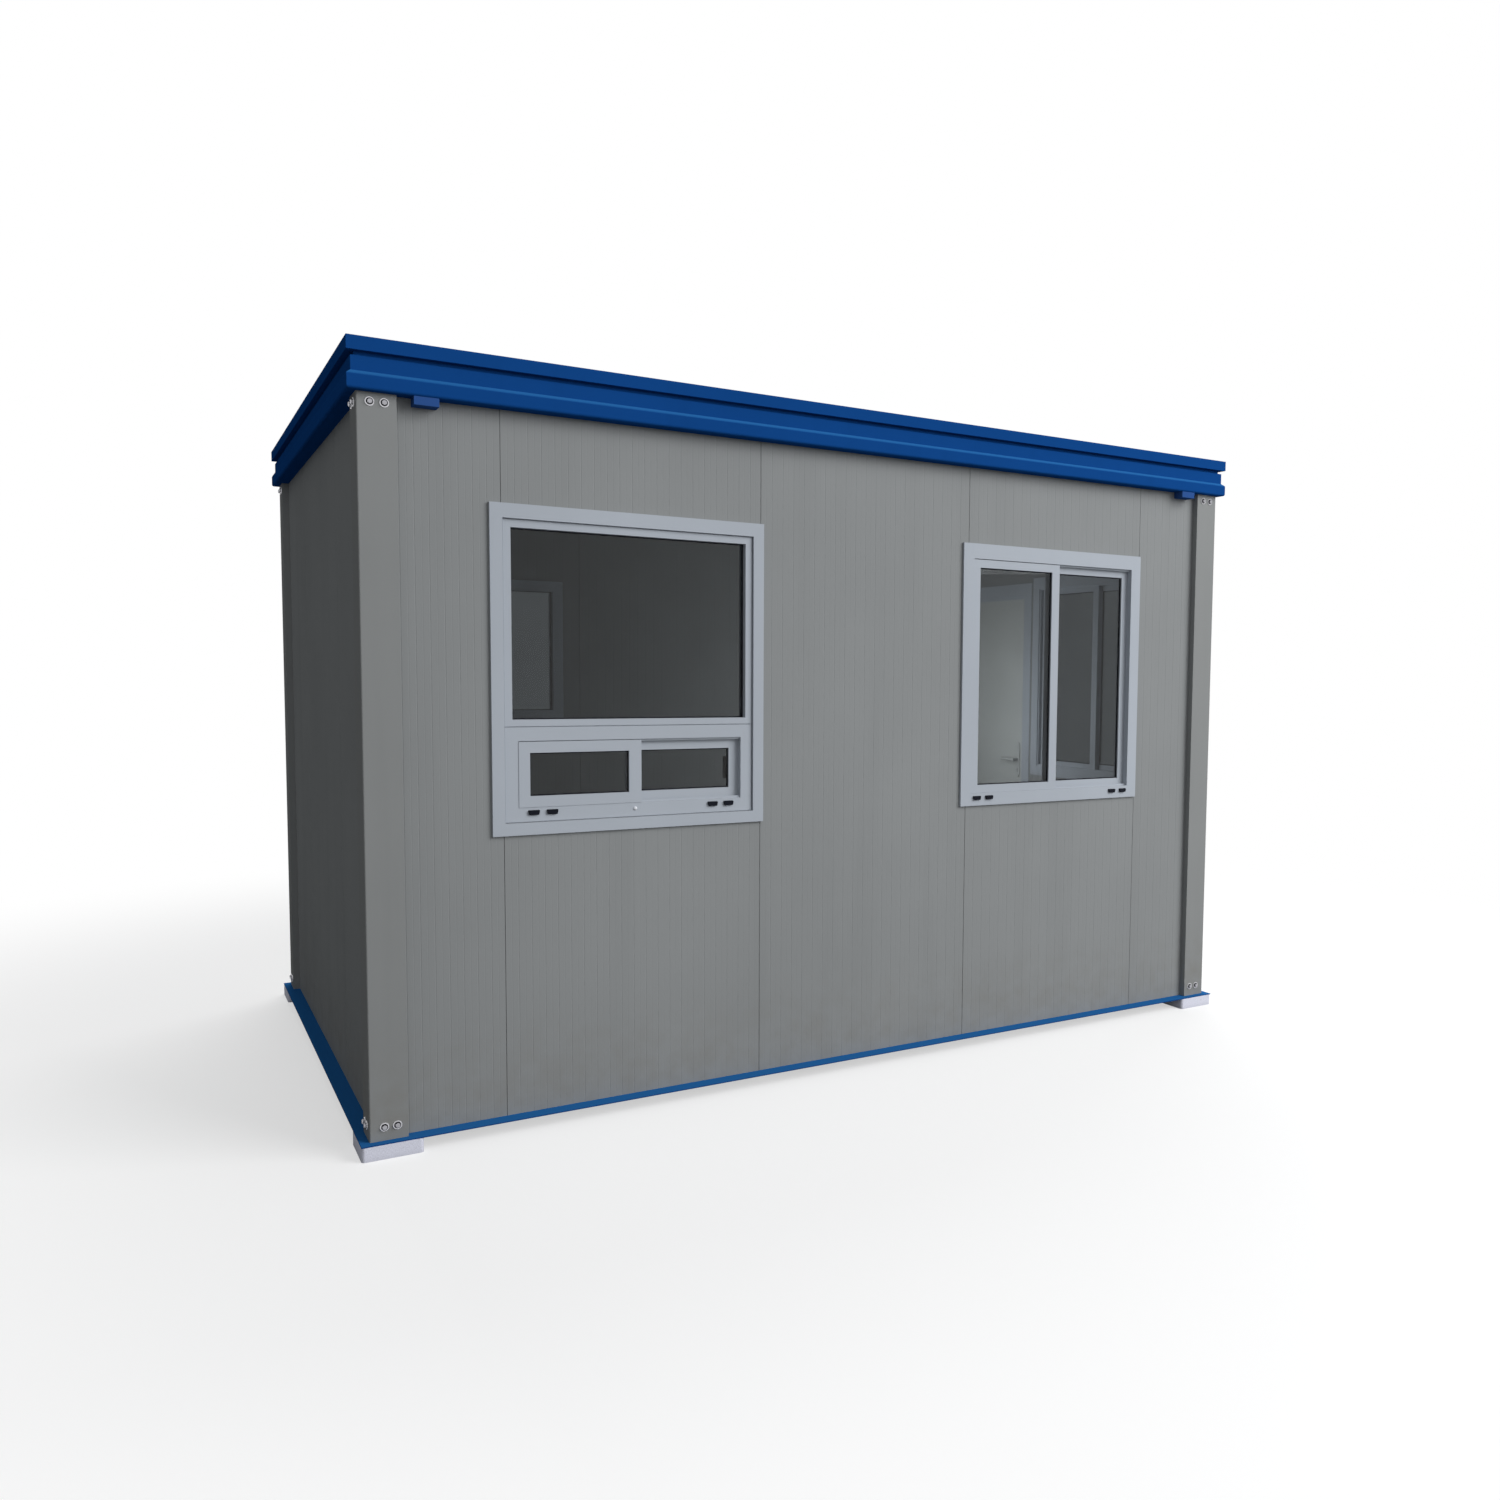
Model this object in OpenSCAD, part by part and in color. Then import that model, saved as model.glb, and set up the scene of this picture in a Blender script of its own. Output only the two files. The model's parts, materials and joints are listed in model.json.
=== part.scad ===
// Site container: a one-room cabin on a steel base frame, with bolted corner posts,
// 1000 mm sandwich panels, a counter window, a sliding window and a side door.
// Millimetres. The origin is on the ground under the middle of the cabin,
// +X along the long front, the front faces -Y, +Z is up.
//
// Every wall is drawn in its own wall frame: x runs to the right as seen from
// outside, y runs inward from the outline of the roof frame, z is up.

/* [Cabin] */
// Length over the roof frame
cabin_length = 4000; // [3400:10:6000]
// Width over the roof frame
cabin_width = 2500; // [2400:10:3000]
// Height from the ledge of the base frame to the top of the roof frame
cabin_height = 2665; // [2500:10:3200]
// How far the roof frame and the base ledge stand out past the posts
frame_overhang = 30; // [20:1:40]

/* [Corner pads] */
// Side of a square levelling pad
pad_size = 200; // [150:5:260]
// Height of a pad
pad_height = 50; // [20:1:120]
// Radius of the upright edges of a pad
pad_radius = 12; // [2:1:30]

/* [Base frame] */
// Thickness of the sheet the base frame is folded from
base_sheet = 4; // [3:0.5:6]
// Height of the base frame above its ledge
base_height = 100; // [80:5:160]
// Width of the inner flange that carries the floor
base_flange = 50; // [40:5:80]
// Number of cross joists under the floor
floor_joists = 7; // [4:1:11]
// Thickness of the floor boards
floor_thickness = 22; // [16:1:30]

/* [Posts] */
// Width of a post face
post_face = 125; // [90:5:160]
// Thickness of the post sheet
post_sheet = 3; // [2:0.5:5]
// Radius of the folded outer edge of a post
post_radius = 5; // [4:1:12]

/* [Wall panels] */
// Width of one wall panel
panel_module = 1000; // [900:10:1100]
// Thickness of the wall panels
panel_thickness = 60; // [40:5:100]
// How far the panels stand back behind the post faces
panel_recess = 30; // [15:1:45]
// Open joint between two panels
panel_joint = 2; // [1:0.5:4]
// Depth of the tongue that keys one panel into the next
tongue_depth = 10; // [6:1:14]
// Thickness of the tongue
tongue_thickness = 18; // [10:1:24]
// Width of the first panel on the long walls
first_panel = 340; // [250:5:400]
// Width of the first panel on the wall with the door
side_first_panel = 165; // [120:5:200]

/* [Roof frame] */
// Height of the roof frame
roof_frame_height = 168; // [150:1:220]
// Thickness of the sheet the roof frame is rolled from
roof_sheet_metal = 3; // [2:0.5:4]
// Height of the upper band of the roof frame
upper_band = 45; // [30:1:60]
// Height of the shadow groove under the upper band
groove_height = 15; // [10:1:26]
// Depth of the shadow groove
groove_depth = 26; // [18:1:34]
// Height of the set-back band
middle_band = 48; // [30:1:56]
// Depth of the set-back band
middle_recess = 14; // [8:1:18]
// Height of the slope from the set-back band to the lower band
slope_height = 11; // [6:1:16]
// Radius of the bend under the slope
slope_radius = 9; // [5:1:14]
// Radius of the rolled lower edge
lower_radius = 9; // [5:1:14]
// Width of the gutter flange on top
gutter_flange = 60; // [45:1:90]
// Depth of the gutter lip
gutter_lip = 24; // [15:1:40]

/* [Roof] */
// Pitch of the ribs in the roof sheet
roof_rib_pitch = 200; // [150:5:300]
// Height of the ribs in the roof sheet
roof_rib_height = 18; // [10:1:22]
// Number of cross joists under the roof sheet
roof_joists = 5; // [3:1:9]
// Thickness of the ceiling boards
ceiling_thickness = 12; // [8:1:25]

/* [Lifting lugs] */
// Width of a lifting lug
lug_width = 80; // [60:5:120]
// Height of a lifting lug below the roof frame
lug_height = 28; // [20:1:40]
// Distance from the post to the lug
lug_offset = 50; // [20:5:200]

/* [Counter window] */
// Width over the outer trim
counter_width = 1050; // [1010:5:1080]
// Height over the outer trim
counter_height = 1167; // [900:1:1400]
// Height of the lower edge of the trim above the base ledge
counter_sill = 1012; // [700:1:1200]
// Width of the outer trim
counter_trim = 44; // [36:1:60]
// Height of the outer trim over the head
counter_head = 51; // [36:1:70]
// Width of the stepped inner frame
counter_step = 30; // [20:1:40]
// Height of the sliding hatch opening
hatch_height = 238; // [180:1:400]
// Width of the stepped frame beside the hatch
hatch_side = 50; // [40:1:90]
// Height of the stepped frame below the hatch
hatch_sill = 54; // [40:1:90]
// Height of the transom between the hatch and the fixed pane
transom_height = 76; // [60:1:100]
// Height of the lower frame member of the fixed pane
fixed_member = 24; // [16:1:36]

/* [Sliding windows] */
// Width over the outer trim
slider_width = 1032; // [1010:1:1060]
// Height over the outer trim
slider_height = 1149; // [900:1:1400]
// Height of the lower edge of the trim above the base ledge
slider_sill = 1024; // [700:1:1200]
// Width of the frame face round the sashes
slider_trim = 56; // [45:1:70]
// Height of the frame face over the sashes
slider_head = 65; // [45:1:80]

/* [Sashes and glass] */
// How far the two front windows sit to the left in their bays
window_shift = 16; // [0:1:16]
// How far the outer trim stands out from the panels
trim_proud = 12; // [6:1:20]
// Thickness of a sash
sash_thickness = 24; // [18:1:30]
// Width of the sash bars
sash_bar = 35; // [30:1:60]
// Width of the hatch sash bars
hatch_bar = 40; // [28:1:48]
// How much wider the bars are where two sashes meet
meeting_extra = 8; // [0:1:14]
// Width of the shadow line between the frame members
shadow_line = 3; // [2:0.5:4]
// Thickness of the rails that the sashes run on
rail_thickness = 3; // [2:0.5:4]
// Height of the rails above the sill
rail_height = 8; // [5:1:12]
// Thickness of the glass
glass_thickness = 6; // [4:1:10]
// How deep the glass sits in its groove
glass_bite = 8; // [5:1:12]
// Clearance between pieces that fit together
fit = 0.3; // [0.2:0.1:0.5]

/* [Back window] */
// Width over the outer trim
back_window_width = 720; // [500:10:860]
// Height over the outer trim
back_window_height = 760; // [500:10:1000]
// Height of the lower edge of the trim above the base ledge
back_window_sill = 1330; // [1000:10:1500]

/* [Door] */
// Width of the door leaf
door_width = 850; // [750:5:870]
// Height of the door leaf
door_height = 1950; // [1850:5:2050]
// Thickness of the door leaf
door_thickness = 44; // [35:1:50]
// Width of the door frame face
door_frame_face = 40; // [30:1:50]
// Running gap round the door leaf
door_gap = 5; // [5:0.5:8]
// Depth of the stop behind the leaf
door_stop = 14; // [10:1:20]
// Distance from the back post to the door frame
door_margin = 35; // [20:1:60]
// Radius of a hinge barrel
barrel_radius = 9; // [7:0.5:12]
// Height of one half of a hinge barrel
barrel_height = 50; // [35:1:70]
// Radius of the hinge pin
pin_radius = 5; // [4:0.5:6]
// Height of the lever above the floor
lever_height = 980; // [900:10:1100]

/* [Hidden] */
eps = 1;
circle_faces = 48;

half_length = cabin_length / 2;
half_width = cabin_width / 2;
wall_face = frame_overhang + panel_recess;
wall_back = wall_face + panel_thickness;
ledge_z = pad_height + base_sheet;
soffit_z = ledge_z + cabin_height - roof_frame_height;
roof_z = ledge_z + cabin_height;
floor_z = ledge_z + base_height + floor_thickness;
post_inner = frame_overhang + post_face;
post_depth = panel_recess + panel_thickness;

// Walls, in each wall's own x
long_from = post_inner - half_length;
long_to = -long_from;
long_joints = [for (i = [0:3]) long_from + first_panel + i * panel_module];
side_from = post_inner - half_width;
side_to = -side_from;
counter_bay = [long_joints[0], long_joints[1]];
slider_bay = [long_joints[2], long_joints[3]];
end_bay = [side_from + side_first_panel, side_from + side_first_panel + panel_module];

// Roof
roof_rail_depth = wall_back + 30;
roof_sheet_gauge = 1.5;
roof_flat_z = roof_z - upper_band - 2;
roof_sheet_edge = groove_depth + roof_sheet_metal + 2;
roof_ribs = floor((cabin_length - 2 * roof_sheet_edge - 60) / roof_rib_pitch);
roof_rib_start = -roof_ribs * roof_rib_pitch / 2;

// The flat between two roof ribs that is nearest to x
function flat_near(x) = roof_rib_start + round((x - roof_rib_start) / roof_rib_pitch) * roof_rib_pitch;

// Windows: the trim overlaps the panels by the same amount below, above and on average beside
inner_trim = 6;
track_pitch = sash_thickness + 2;
track_stop = 8;
sash_gap = 3;
shadow_depth = 5;
hatch_track = wall_face - 4;
slider_track = wall_face - trim_proud + 3;
counter_middle = (counter_bay[0] + counter_bay[1]) / 2 - window_shift;
counter_overlap = (counter_width - panel_module) / 2;
counter_low = ledge_z + counter_sill;
counter_high = counter_low + counter_height;
counter_inner_half = counter_width / 2 - counter_trim;
hatch_low = counter_low + counter_trim + hatch_sill;
hatch_high = hatch_low + hatch_height;
hatch_half = counter_inner_half - hatch_side;
hatch_sash_height = hatch_height - fit - sash_gap;
fixed_low = hatch_high + transom_height;
fixed_high = counter_high - counter_head - counter_step;
fixed_half = counter_inner_half - counter_step;
fixed_pane_y = wall_face + 26;
step_face = wall_face - 2;
slider_middle = (slider_bay[0] + slider_bay[1]) / 2 - window_shift;
end_middle = (end_bay[0] + end_bay[1]) / 2;
slider_overlap = (slider_width - panel_module) / 2;
slider_low = ledge_z + slider_sill;
slider_high = slider_low + slider_height;
slider_opening = slider_width - 2 * slider_trim;
slider_sash_height = slider_height - slider_trim - slider_head - fit - sash_gap;
back_overlap = 24;
back_band = 56;
back_window_middle = (long_joints[2] + long_joints[3]) / 2 - 45;
back_hole = [back_window_width - 2 * back_overlap, back_window_height - 2 * back_overlap];
back_low = ledge_z + back_window_sill;
back_high = back_low + back_window_height;
back_pane_y = wall_face + panel_thickness / 2;

// Door
door_sill = 10;
door_low = floor_z + door_sill + door_gap;
door_high = door_low + door_height;
door_hole_to = side_to - door_margin;
door_hole_from = door_hole_to - door_width - 2 * (door_gap + door_frame_face);
door_hole_high = door_high + door_gap + door_frame_face;
door_left = door_hole_from + door_frame_face + door_gap;
door_right = door_left + door_width;
door_face = wall_face + 2;
door_back = door_face + door_thickness;
door_frame_proud = 3;
door_cover = 14;
hinge_y = wall_face - door_frame_proud - barrel_radius - 1;
hinge_x = door_right + door_gap / 2;
hinge_heights = [door_low + 180, door_low + door_height / 2, door_high - 180 - 2 * barrel_height];

hinge_plate = 32;
hinge_sheet = 4;
lever_x = door_left + 62;
lever_z = floor_z + lever_height;

FRONT = 0;
RIGHT = 1;
BACK = 2;
LEFT = 3;

frame_blue = [0.07, 0.23, 0.50];
panel_grey = [0.66, 0.67, 0.65];
post_grey = [0.62, 0.63, 0.62];
trim_white = [0.87, 0.89, 0.92];
glass_tint = [0.25, 0.28, 0.30, 0.6];
concrete_grey = [0.78, 0.78, 0.77];
zinc_grey = [0.60, 0.62, 0.64];

// ---- helpers ----

// Half of the length of a wall over the roof frame
function half_side(side) = (side == FRONT || side == BACK) ? half_length : half_width;

// Puts a wall's own frame on its side of the cabin
module on_wall(side) {
    rotate([0, 0, 90 * side])
        translate([0, half_side(side) - half_length - half_width, 0])
            children();
}

// A block between two limits along each axis
module block(x, y, z) {
    translate([x[0], y[0], z[0]])
        cube([x[1] - x[0], y[1] - y[0], z[1] - z[0]]);
}

// Unit normal to the left of the line from a to b
function left_normal(a, b) = let (d = (b - a) / norm(b - a)) [-d[1], d[0]];

// Point i of a folded line, moved to its left by t
function shifted(line, i, t) =
    i == 0 ? line[0] + t * left_normal(line[0], line[1]) :
    i == len(line) - 1 ? line[i] + t * left_normal(line[i - 1], line[i]) :
    let (
        n1 = left_normal(line[i - 1], line[i]),
        n2 = left_normal(line[i], line[i + 1])
    ) line[i] + t * (n1 + n2) / (1 + n1 * n2);

// Section of a sheet of thickness t folded along a line
module folded_sheet(line, t) {
    polygon(concat(line, [for (i = [len(line) - 1:-1:0]) shifted(line, i, t)]));
}

// Points of an arc round a centre
function arc(centre, r, from, to, steps) =
    [for (i = [0:steps]) let (a = from + (to - from) * i / steps) centre + r * [cos(a), sin(a)]];

// A rail with the given section along a wall, mitred at both corners
module mitred_rail(side, depth, low, high) {
    reach = half_side(side);
    on_wall(side)
        intersection() {
            translate([-reach, 0, 0])
                rotate([90, 0, 90])
                    linear_extrude(2 * reach)
                        children();
            translate([0, 0, low])
                linear_extrude(high - low)
                    polygon([[-reach, 0], [reach, 0], [reach - depth, depth], [depth - reach, depth]]);
        }
}

// ---- pads, base frame and floor ----

module corner_pads() {
    color(concrete_grey)
        for (sx = [-1, 1], sy = [-1, 1])
            translate([sx * (half_length - pad_size / 2), sy * (half_width - pad_size / 2), 0])
                linear_extrude(pad_height)
                    rounded_square(pad_size, pad_radius);
}

module rounded_square(size, r) {
    square([size - 2 * r, size], center = true);
    square([size, size - 2 * r], center = true);
    for (sx = [-1, 1], sy = [-1, 1])
        translate([sx * (size / 2 - r), sy * (size / 2 - r)])
            circle(r, $fn = circle_faces);
}

// The panels stand on the ledge; the web rises behind them and its flange carries the floor
module base_rail(side) {
    depth = wall_back + base_sheet + base_flange;
    color(frame_blue)
        mitred_rail(side, depth, ledge_z - base_sheet, ledge_z + base_height)
            folded_sheet([
                [0, ledge_z - base_sheet],
                [wall_back + fit + base_sheet, ledge_z - base_sheet],
                [wall_back + fit + base_sheet, ledge_z + base_height - base_sheet],
                [depth, ledge_z + base_height - base_sheet]
            ], base_sheet);
}

module floor_joist_set() {
    reach_x = half_length - wall_back - base_sheet - base_flange;
    reach_y = half_width - wall_back - base_sheet - 2 * fit;
    pitch = 2 * reach_x / (floor_joists + 1);
    low = ledge_z - base_sheet;
    high = ledge_z + base_height - base_sheet;
    color(frame_blue)
        for (i = [1:floor_joists])
            translate([-reach_x + i * pitch, reach_y, 0])
                rotate([90, 0, 0])
                    linear_extrude(2 * reach_y)
                        folded_sheet([
                            [base_flange / 2, low], [-base_flange / 2, low],
                            [-base_flange / 2, high], [base_flange / 2, high]
                        ], -base_sheet);
}

module floor_deck() {
    inset = wall_back + fit;
    color("dimgray")
        block(
            [inset - half_length, half_length - inset],
            [inset - half_width, half_width - inset],
            [ledge_z + base_height, floor_z]
        );
}

// ---- corner posts ----

// Closed L-shaped post section with its outer corner at the origin
module post_section() {
    difference() {
        union() {
            polygon([
                [post_radius, 0], [post_face, 0], [post_face, post_depth],
                [post_depth, post_depth], [post_depth, post_face], [0, post_face], [0, post_radius]
            ]);
            translate([post_radius, post_radius])
                circle(post_radius, $fn = circle_faces);
        }
        polygon([
            [post_sheet, post_sheet], [post_face - post_sheet, post_sheet],
            [post_face - post_sheet, post_depth - post_sheet],
            [post_depth - post_sheet, post_depth - post_sheet],
            [post_depth - post_sheet, post_face - post_sheet],
            [post_sheet, post_face - post_sheet]
        ]);
    }
}

module post(sx, sy) {
    turn = sx < 0 ? (sy < 0 ? 0 : 270) : (sy < 0 ? 90 : 180);
    color(post_grey)
        translate([sx * (half_length - frame_overhang), sy * (half_width - frame_overhang), ledge_z])
            rotate([0, 0, turn])
                linear_extrude(soffit_z - ledge_z)
                    post_section();
}

// ---- wall panels ----

// Kinds of panel edge
PLAIN = 0;
TONGUE = 1;
GROOVE = 2;

// Plan of one panel between two joints
module panel_plan(from, to, left_edge, right_edge) {
    middle = wall_face + panel_thickness / 2;
    half_tongue = tongue_thickness / 2;
    left = from + (left_edge == TONGUE ? panel_joint : 0);
    right = to - (right_edge == TONGUE ? panel_joint : 0);
    difference() {
        translate([left, wall_face])
            square([right - left, panel_thickness]);
        if (left_edge == GROOVE)
            translate([left - eps, middle - half_tongue - fit])
                square([eps + tongue_depth, 2 * (half_tongue + fit)]);
        if (right_edge == GROOVE)
            translate([right - tongue_depth, middle - half_tongue - fit])
                square([eps + tongue_depth, 2 * (half_tongue + fit)]);
    }
    if (left_edge == TONGUE)
        translate([left - tongue_depth, middle - half_tongue])
            square([tongue_depth + eps, tongue_thickness]);
    if (right_edge == TONGUE)
        translate([right - eps, middle - half_tongue])
            square([tongue_depth + eps, tongue_thickness]);
}

// One panel of a wall, between two heights
module panel(from, to, low, high, left_edge = PLAIN, right_edge = PLAIN) {
    translate([0, 0, low])
        linear_extrude(high - low)
            panel_plan(from, to, left_edge, right_edge);
}

// A panel of full height
module full_panel(from, to, left_edge = PLAIN, right_edge = PLAIN) {
    panel(from, to, ledge_z, soffit_z, left_edge, right_edge);
}

module front_panel_left() {
    color(panel_grey)
        on_wall(FRONT)
            full_panel(long_from, counter_bay[0], PLAIN, GROOVE);
}

module front_panels_below_windows() {
    color(panel_grey)
        on_wall(FRONT) {
            panel(counter_bay[0], counter_bay[1], ledge_z, counter_low + counter_overlap, TONGUE, TONGUE);
            panel(slider_bay[0], slider_bay[1], ledge_z, slider_low + slider_overlap, TONGUE, TONGUE);
        }
}

module front_panels_above_windows() {
    color(panel_grey)
        on_wall(FRONT) {
            panel(counter_bay[0], counter_bay[1], counter_high - counter_overlap, soffit_z, TONGUE, TONGUE);
            panel(slider_bay[0], slider_bay[1], slider_high - slider_overlap, soffit_z, TONGUE, TONGUE);
        }
}

module front_panel_middle() {
    color(panel_grey)
        on_wall(FRONT)
            full_panel(counter_bay[1], slider_bay[0], GROOVE, GROOVE);
}

module front_panel_right() {
    color(panel_grey)
        on_wall(FRONT)
            full_panel(slider_bay[1], long_to, GROOVE, PLAIN);
}

// The back wall, without the panel that holds the small window
module back_panels() {
    color(panel_grey)
        on_wall(BACK) {
            full_panel(long_from, long_joints[0], PLAIN, GROOVE);
            full_panel(long_joints[0], long_joints[1], TONGUE, TONGUE);
            full_panel(long_joints[1], long_joints[2], GROOVE, GROOVE);
            full_panel(long_joints[3], long_to, GROOVE, PLAIN);
        }
}

module back_panel_with_window() {
    color(panel_grey)
        on_wall(BACK)
            difference() {
                full_panel(long_joints[2], long_joints[3], TONGUE, TONGUE);
                block(
                    [back_window_middle - back_hole[0] / 2, back_window_middle + back_hole[0] / 2],
                    [wall_face - eps, wall_back + eps],
                    [back_low + back_overlap, back_high - back_overlap]
                );
            }
}

module left_wall_panels() {
    color(panel_grey)
        on_wall(LEFT) {
            full_panel(side_from, -panel_module / 2, PLAIN, GROOVE);
            full_panel(-panel_module / 2, panel_module / 2, TONGUE, TONGUE);
            full_panel(panel_module / 2, side_to, GROOVE, PLAIN);
        }
}

module right_panel_front() {
    color(panel_grey)
        on_wall(RIGHT)
            full_panel(side_from, end_bay[0], PLAIN, GROOVE);
}

module right_panels_at_window() {
    color(panel_grey)
        on_wall(RIGHT) {
            panel(end_bay[0], end_bay[1], ledge_z, slider_low + slider_overlap, TONGUE, TONGUE);
            panel(end_bay[0], end_bay[1], slider_high - slider_overlap, soffit_z, TONGUE, TONGUE);
        }
}

// ---- door opening ----

module right_panel_at_lock() {
    color(panel_grey)
        on_wall(RIGHT)
            full_panel(end_bay[1], door_hole_from, GROOVE, PLAIN);
}

module right_panel_over_door() {
    color(panel_grey)
        on_wall(RIGHT)
            panel(door_hole_from, door_hole_to, door_hole_high, soffit_z);
}

module right_panel_at_hinges() {
    color(panel_grey)
        on_wall(RIGHT)
            full_panel(door_hole_to, side_to);
}

// ---- roof frame, roof and ceiling ----

// Rolled section: gutter lip, upper band, shadow groove, set-back band, slope and lower band
module roof_rail(side) {
    under_upper = roof_z - upper_band;
    under_groove = under_upper - groove_height;
    under_middle = under_groove - middle_band;
    under_slope = under_middle - slope_height;
    slope_turn = 90 - atan2(slope_height, middle_recess);
    color(frame_blue)
        mitred_rail(side, roof_rail_depth, soffit_z, roof_z)
            folded_sheet(concat(
                [
                    [gutter_flange, roof_z - gutter_lip], [gutter_flange, roof_z], [0, roof_z],
                    [0, under_upper], [groove_depth, under_upper],
                    [groove_depth, under_groove], [middle_recess, under_groove],
                    [middle_recess, under_middle]
                ],
                arc([slope_radius, under_slope - slope_radius * tan(slope_turn / 2)],
                    slope_radius, 180 - slope_turn, 180, 4),
                arc([lower_radius, soffit_z + lower_radius], lower_radius, 180, 270, 5),
                [[roof_rail_depth, soffit_z]]
            ), roof_sheet_metal);
}

module roof_joist_set() {
    reach_y = half_width - groove_depth - 2 * roof_sheet_metal - 5;
    pitch = cabin_length / (roof_joists + 1);
    width = 50;
    low = soffit_z + roof_sheet_metal;
    color(zinc_grey)
        for (i = [1:roof_joists])
            translate([flat_near(i * pitch - half_length), reach_y, 0])
                rotate([90, 0, 0])
                    linear_extrude(2 * reach_y)
                        folded_sheet([
                            [width / 2, low], [-width / 2, low],
                            [-width / 2, roof_flat_z], [width / 2, roof_flat_z]
                        ], -roof_sheet_metal);
}

// Trapezoidal sheet with its ribs across the cabin
module roof_sheet() {
    reach_x = half_length - roof_sheet_edge;
    line = concat(
        [[-reach_x, roof_flat_z]],
        [for (i = [0:roof_ribs - 1], p = [[-30, 0], [-18, 1], [18, 1], [30, 0]])
            [roof_rib_start + (i + 0.5) * roof_rib_pitch + p[0], roof_flat_z + p[1] * roof_rib_height]],
        [[reach_x, roof_flat_z]]
    );
    color(zinc_grey)
        translate([0, half_width - roof_sheet_edge, 0])
            rotate([90, 0, 0])
                linear_extrude(cabin_width - 2 * roof_sheet_edge)
                    folded_sheet(line, roof_sheet_gauge);
}

module ceiling() {
    inset = wall_back + fit;
    color("white")
        block(
            [inset - half_length, half_length - inset],
            [inset - half_width, half_width - inset],
            [soffit_z - ceiling_thickness, soffit_z]
        );
}

// Box lugs under the roof frame beside each post, open toward the wall
module lifting_lugs() {
    wall = 6;
    front = 4;
    middle = half_length - post_inner - lug_offset - lug_width / 2;
    color(frame_blue)
        for (side = [FRONT, BACK], end = [-1, 1])
            on_wall(side)
                translate([end * middle, 0, soffit_z - lug_height])
                    difference() {
                        block([-lug_width / 2, lug_width / 2], [front, wall_face - fit], [0, lug_height]);
                        block(
                            [wall - lug_width / 2, lug_width / 2 - wall],
                            [front + wall, wall_face + eps], [wall, lug_height + eps]
                        );
                    }
}

// ---- windows ----

// A flat ring between two rectangles, each given as its half width and its two heights
module ring(half, low, high, side, sill, head, from_y, to_y) {
    difference() {
        block([-half, half], [from_y, to_y], [low, high]);
        block([side - half, half - side], [from_y - eps, to_y + eps], [low + sill, high - head]);
    }
}

// Frame that clamps the wall: outer trim, body through the wall, inner trim.
// The body fills its hole in the wall, whose middle is at x = off.
module clamped_frame(half, low, high, overlap, band, head, off = 0) {
    body = half - overlap - fit;
    ring(half, low, high, band, band, head, wall_face - trim_proud, wall_face);
    difference() {
        block([off - body, off + body], [wall_face - eps, wall_back + eps],
            [low + overlap + fit, high - overlap - fit]);
        block([band - half, half - band], [wall_face - 2 * eps, wall_back + 2 * eps],
            [low + band, high - head]);
    }
    ring(half, low, high, band, band, head, wall_back, wall_back + inner_trim);
}

// One sash, grooved inside for its glass and slotted below and above for its rails.
// Its bars are given as the left one, the right one, and the one below and above.
module sash(width, height, left, right, bar, at_y) {
    middle = at_y + sash_thickness / 2;
    half_groove = glass_thickness / 2 + fit;
    half_slot = rail_thickness / 2 + fit;
    reach = glass_bite + fit;
    difference() {
        block([-width / 2, width / 2], [at_y, at_y + sash_thickness], [0, height]);
        block([left - width / 2, width / 2 - right], [at_y - eps, at_y + sash_thickness + eps],
            [bar, height - bar]);
        block([left - reach - width / 2, width / 2 - right + reach],
            [middle - half_groove, middle + half_groove], [bar - reach, height - bar + reach]);
        block([-width / 2 - eps, width / 2 + eps], [middle - half_slot, middle + half_slot],
            [-eps, rail_height + fit]);
        block([-width / 2 - eps, width / 2 + eps], [middle - half_slot, middle + half_slot],
            [height - rail_height, height + eps]);
    }
}

// Rails on the sill and under the head of an opening, one pair for each track
module rails(half, low, high, first_track) {
    for (track = [first_track, first_track + track_pitch], z = [low - eps, high - rail_height])
        translate([0, track + sash_thickness / 2, 0])
            block([-half - eps, half + eps], [-rail_thickness / 2, rail_thickness / 2],
                [z, z + rail_height + eps]);
}

module pane(width, height, left, right, bar, at_y) {
    middle = at_y + sash_thickness / 2;
    block(
        [left - glass_bite - width / 2, width / 2 - right + glass_bite],
        [middle - glass_thickness / 2, middle + glass_thickness / 2],
        [bar - glass_bite, height - bar + glass_bite]
    );
}

// Two sashes side by side that overlap at the middle by one meeting bar
function sash_width(opening, bar) = (opening + bar + meeting_extra) / 2 - fit;
function sash_shift(opening, bar) = (opening - sash_width(opening, bar)) / 2 - fit;

// Draws both sashes of an opening, or both panes: outer track on the left, inner track on the right
module pair(opening, low, height, bar, first_track, glass) {
    width = sash_width(opening, bar);
    shift = sash_shift(opening, bar);
    meeting = bar + meeting_extra;
    for (end = [-1, 1])
        translate([end * shift, 0, low + fit]) {
            left = end < 0 ? bar : meeting;
            right = end < 0 ? meeting : bar;
            track = end < 0 ? first_track : first_track + track_pitch;
            if (glass)
                pane(width, height, left, right, bar, track);
            else
                sash(width, height, left, right, bar, track);
        }
}

module slider_frame(off = 0) {
    stop = track_stop + eps;
    rails(slider_width / 2 - slider_trim, slider_low + slider_trim, slider_high - slider_head, slider_track);
    clamped_frame(slider_width / 2, slider_low, slider_high, slider_overlap, slider_trim, slider_head, off);
    ring(slider_width / 2 - slider_trim + eps, slider_low + slider_trim - eps,
        slider_high - slider_head + eps, stop, stop, stop,
        slider_track + track_pitch + sash_thickness + fit, wall_back);
}

module slider_pair(glass) {
    pair(slider_opening, slider_low + slider_trim, slider_sash_height, sash_bar, slider_track, glass);
}

module sliding_window_frame() {
    color(trim_white)
        on_wall(FRONT) translate([slider_middle, 0, 0]) slider_frame(window_shift);
}

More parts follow.
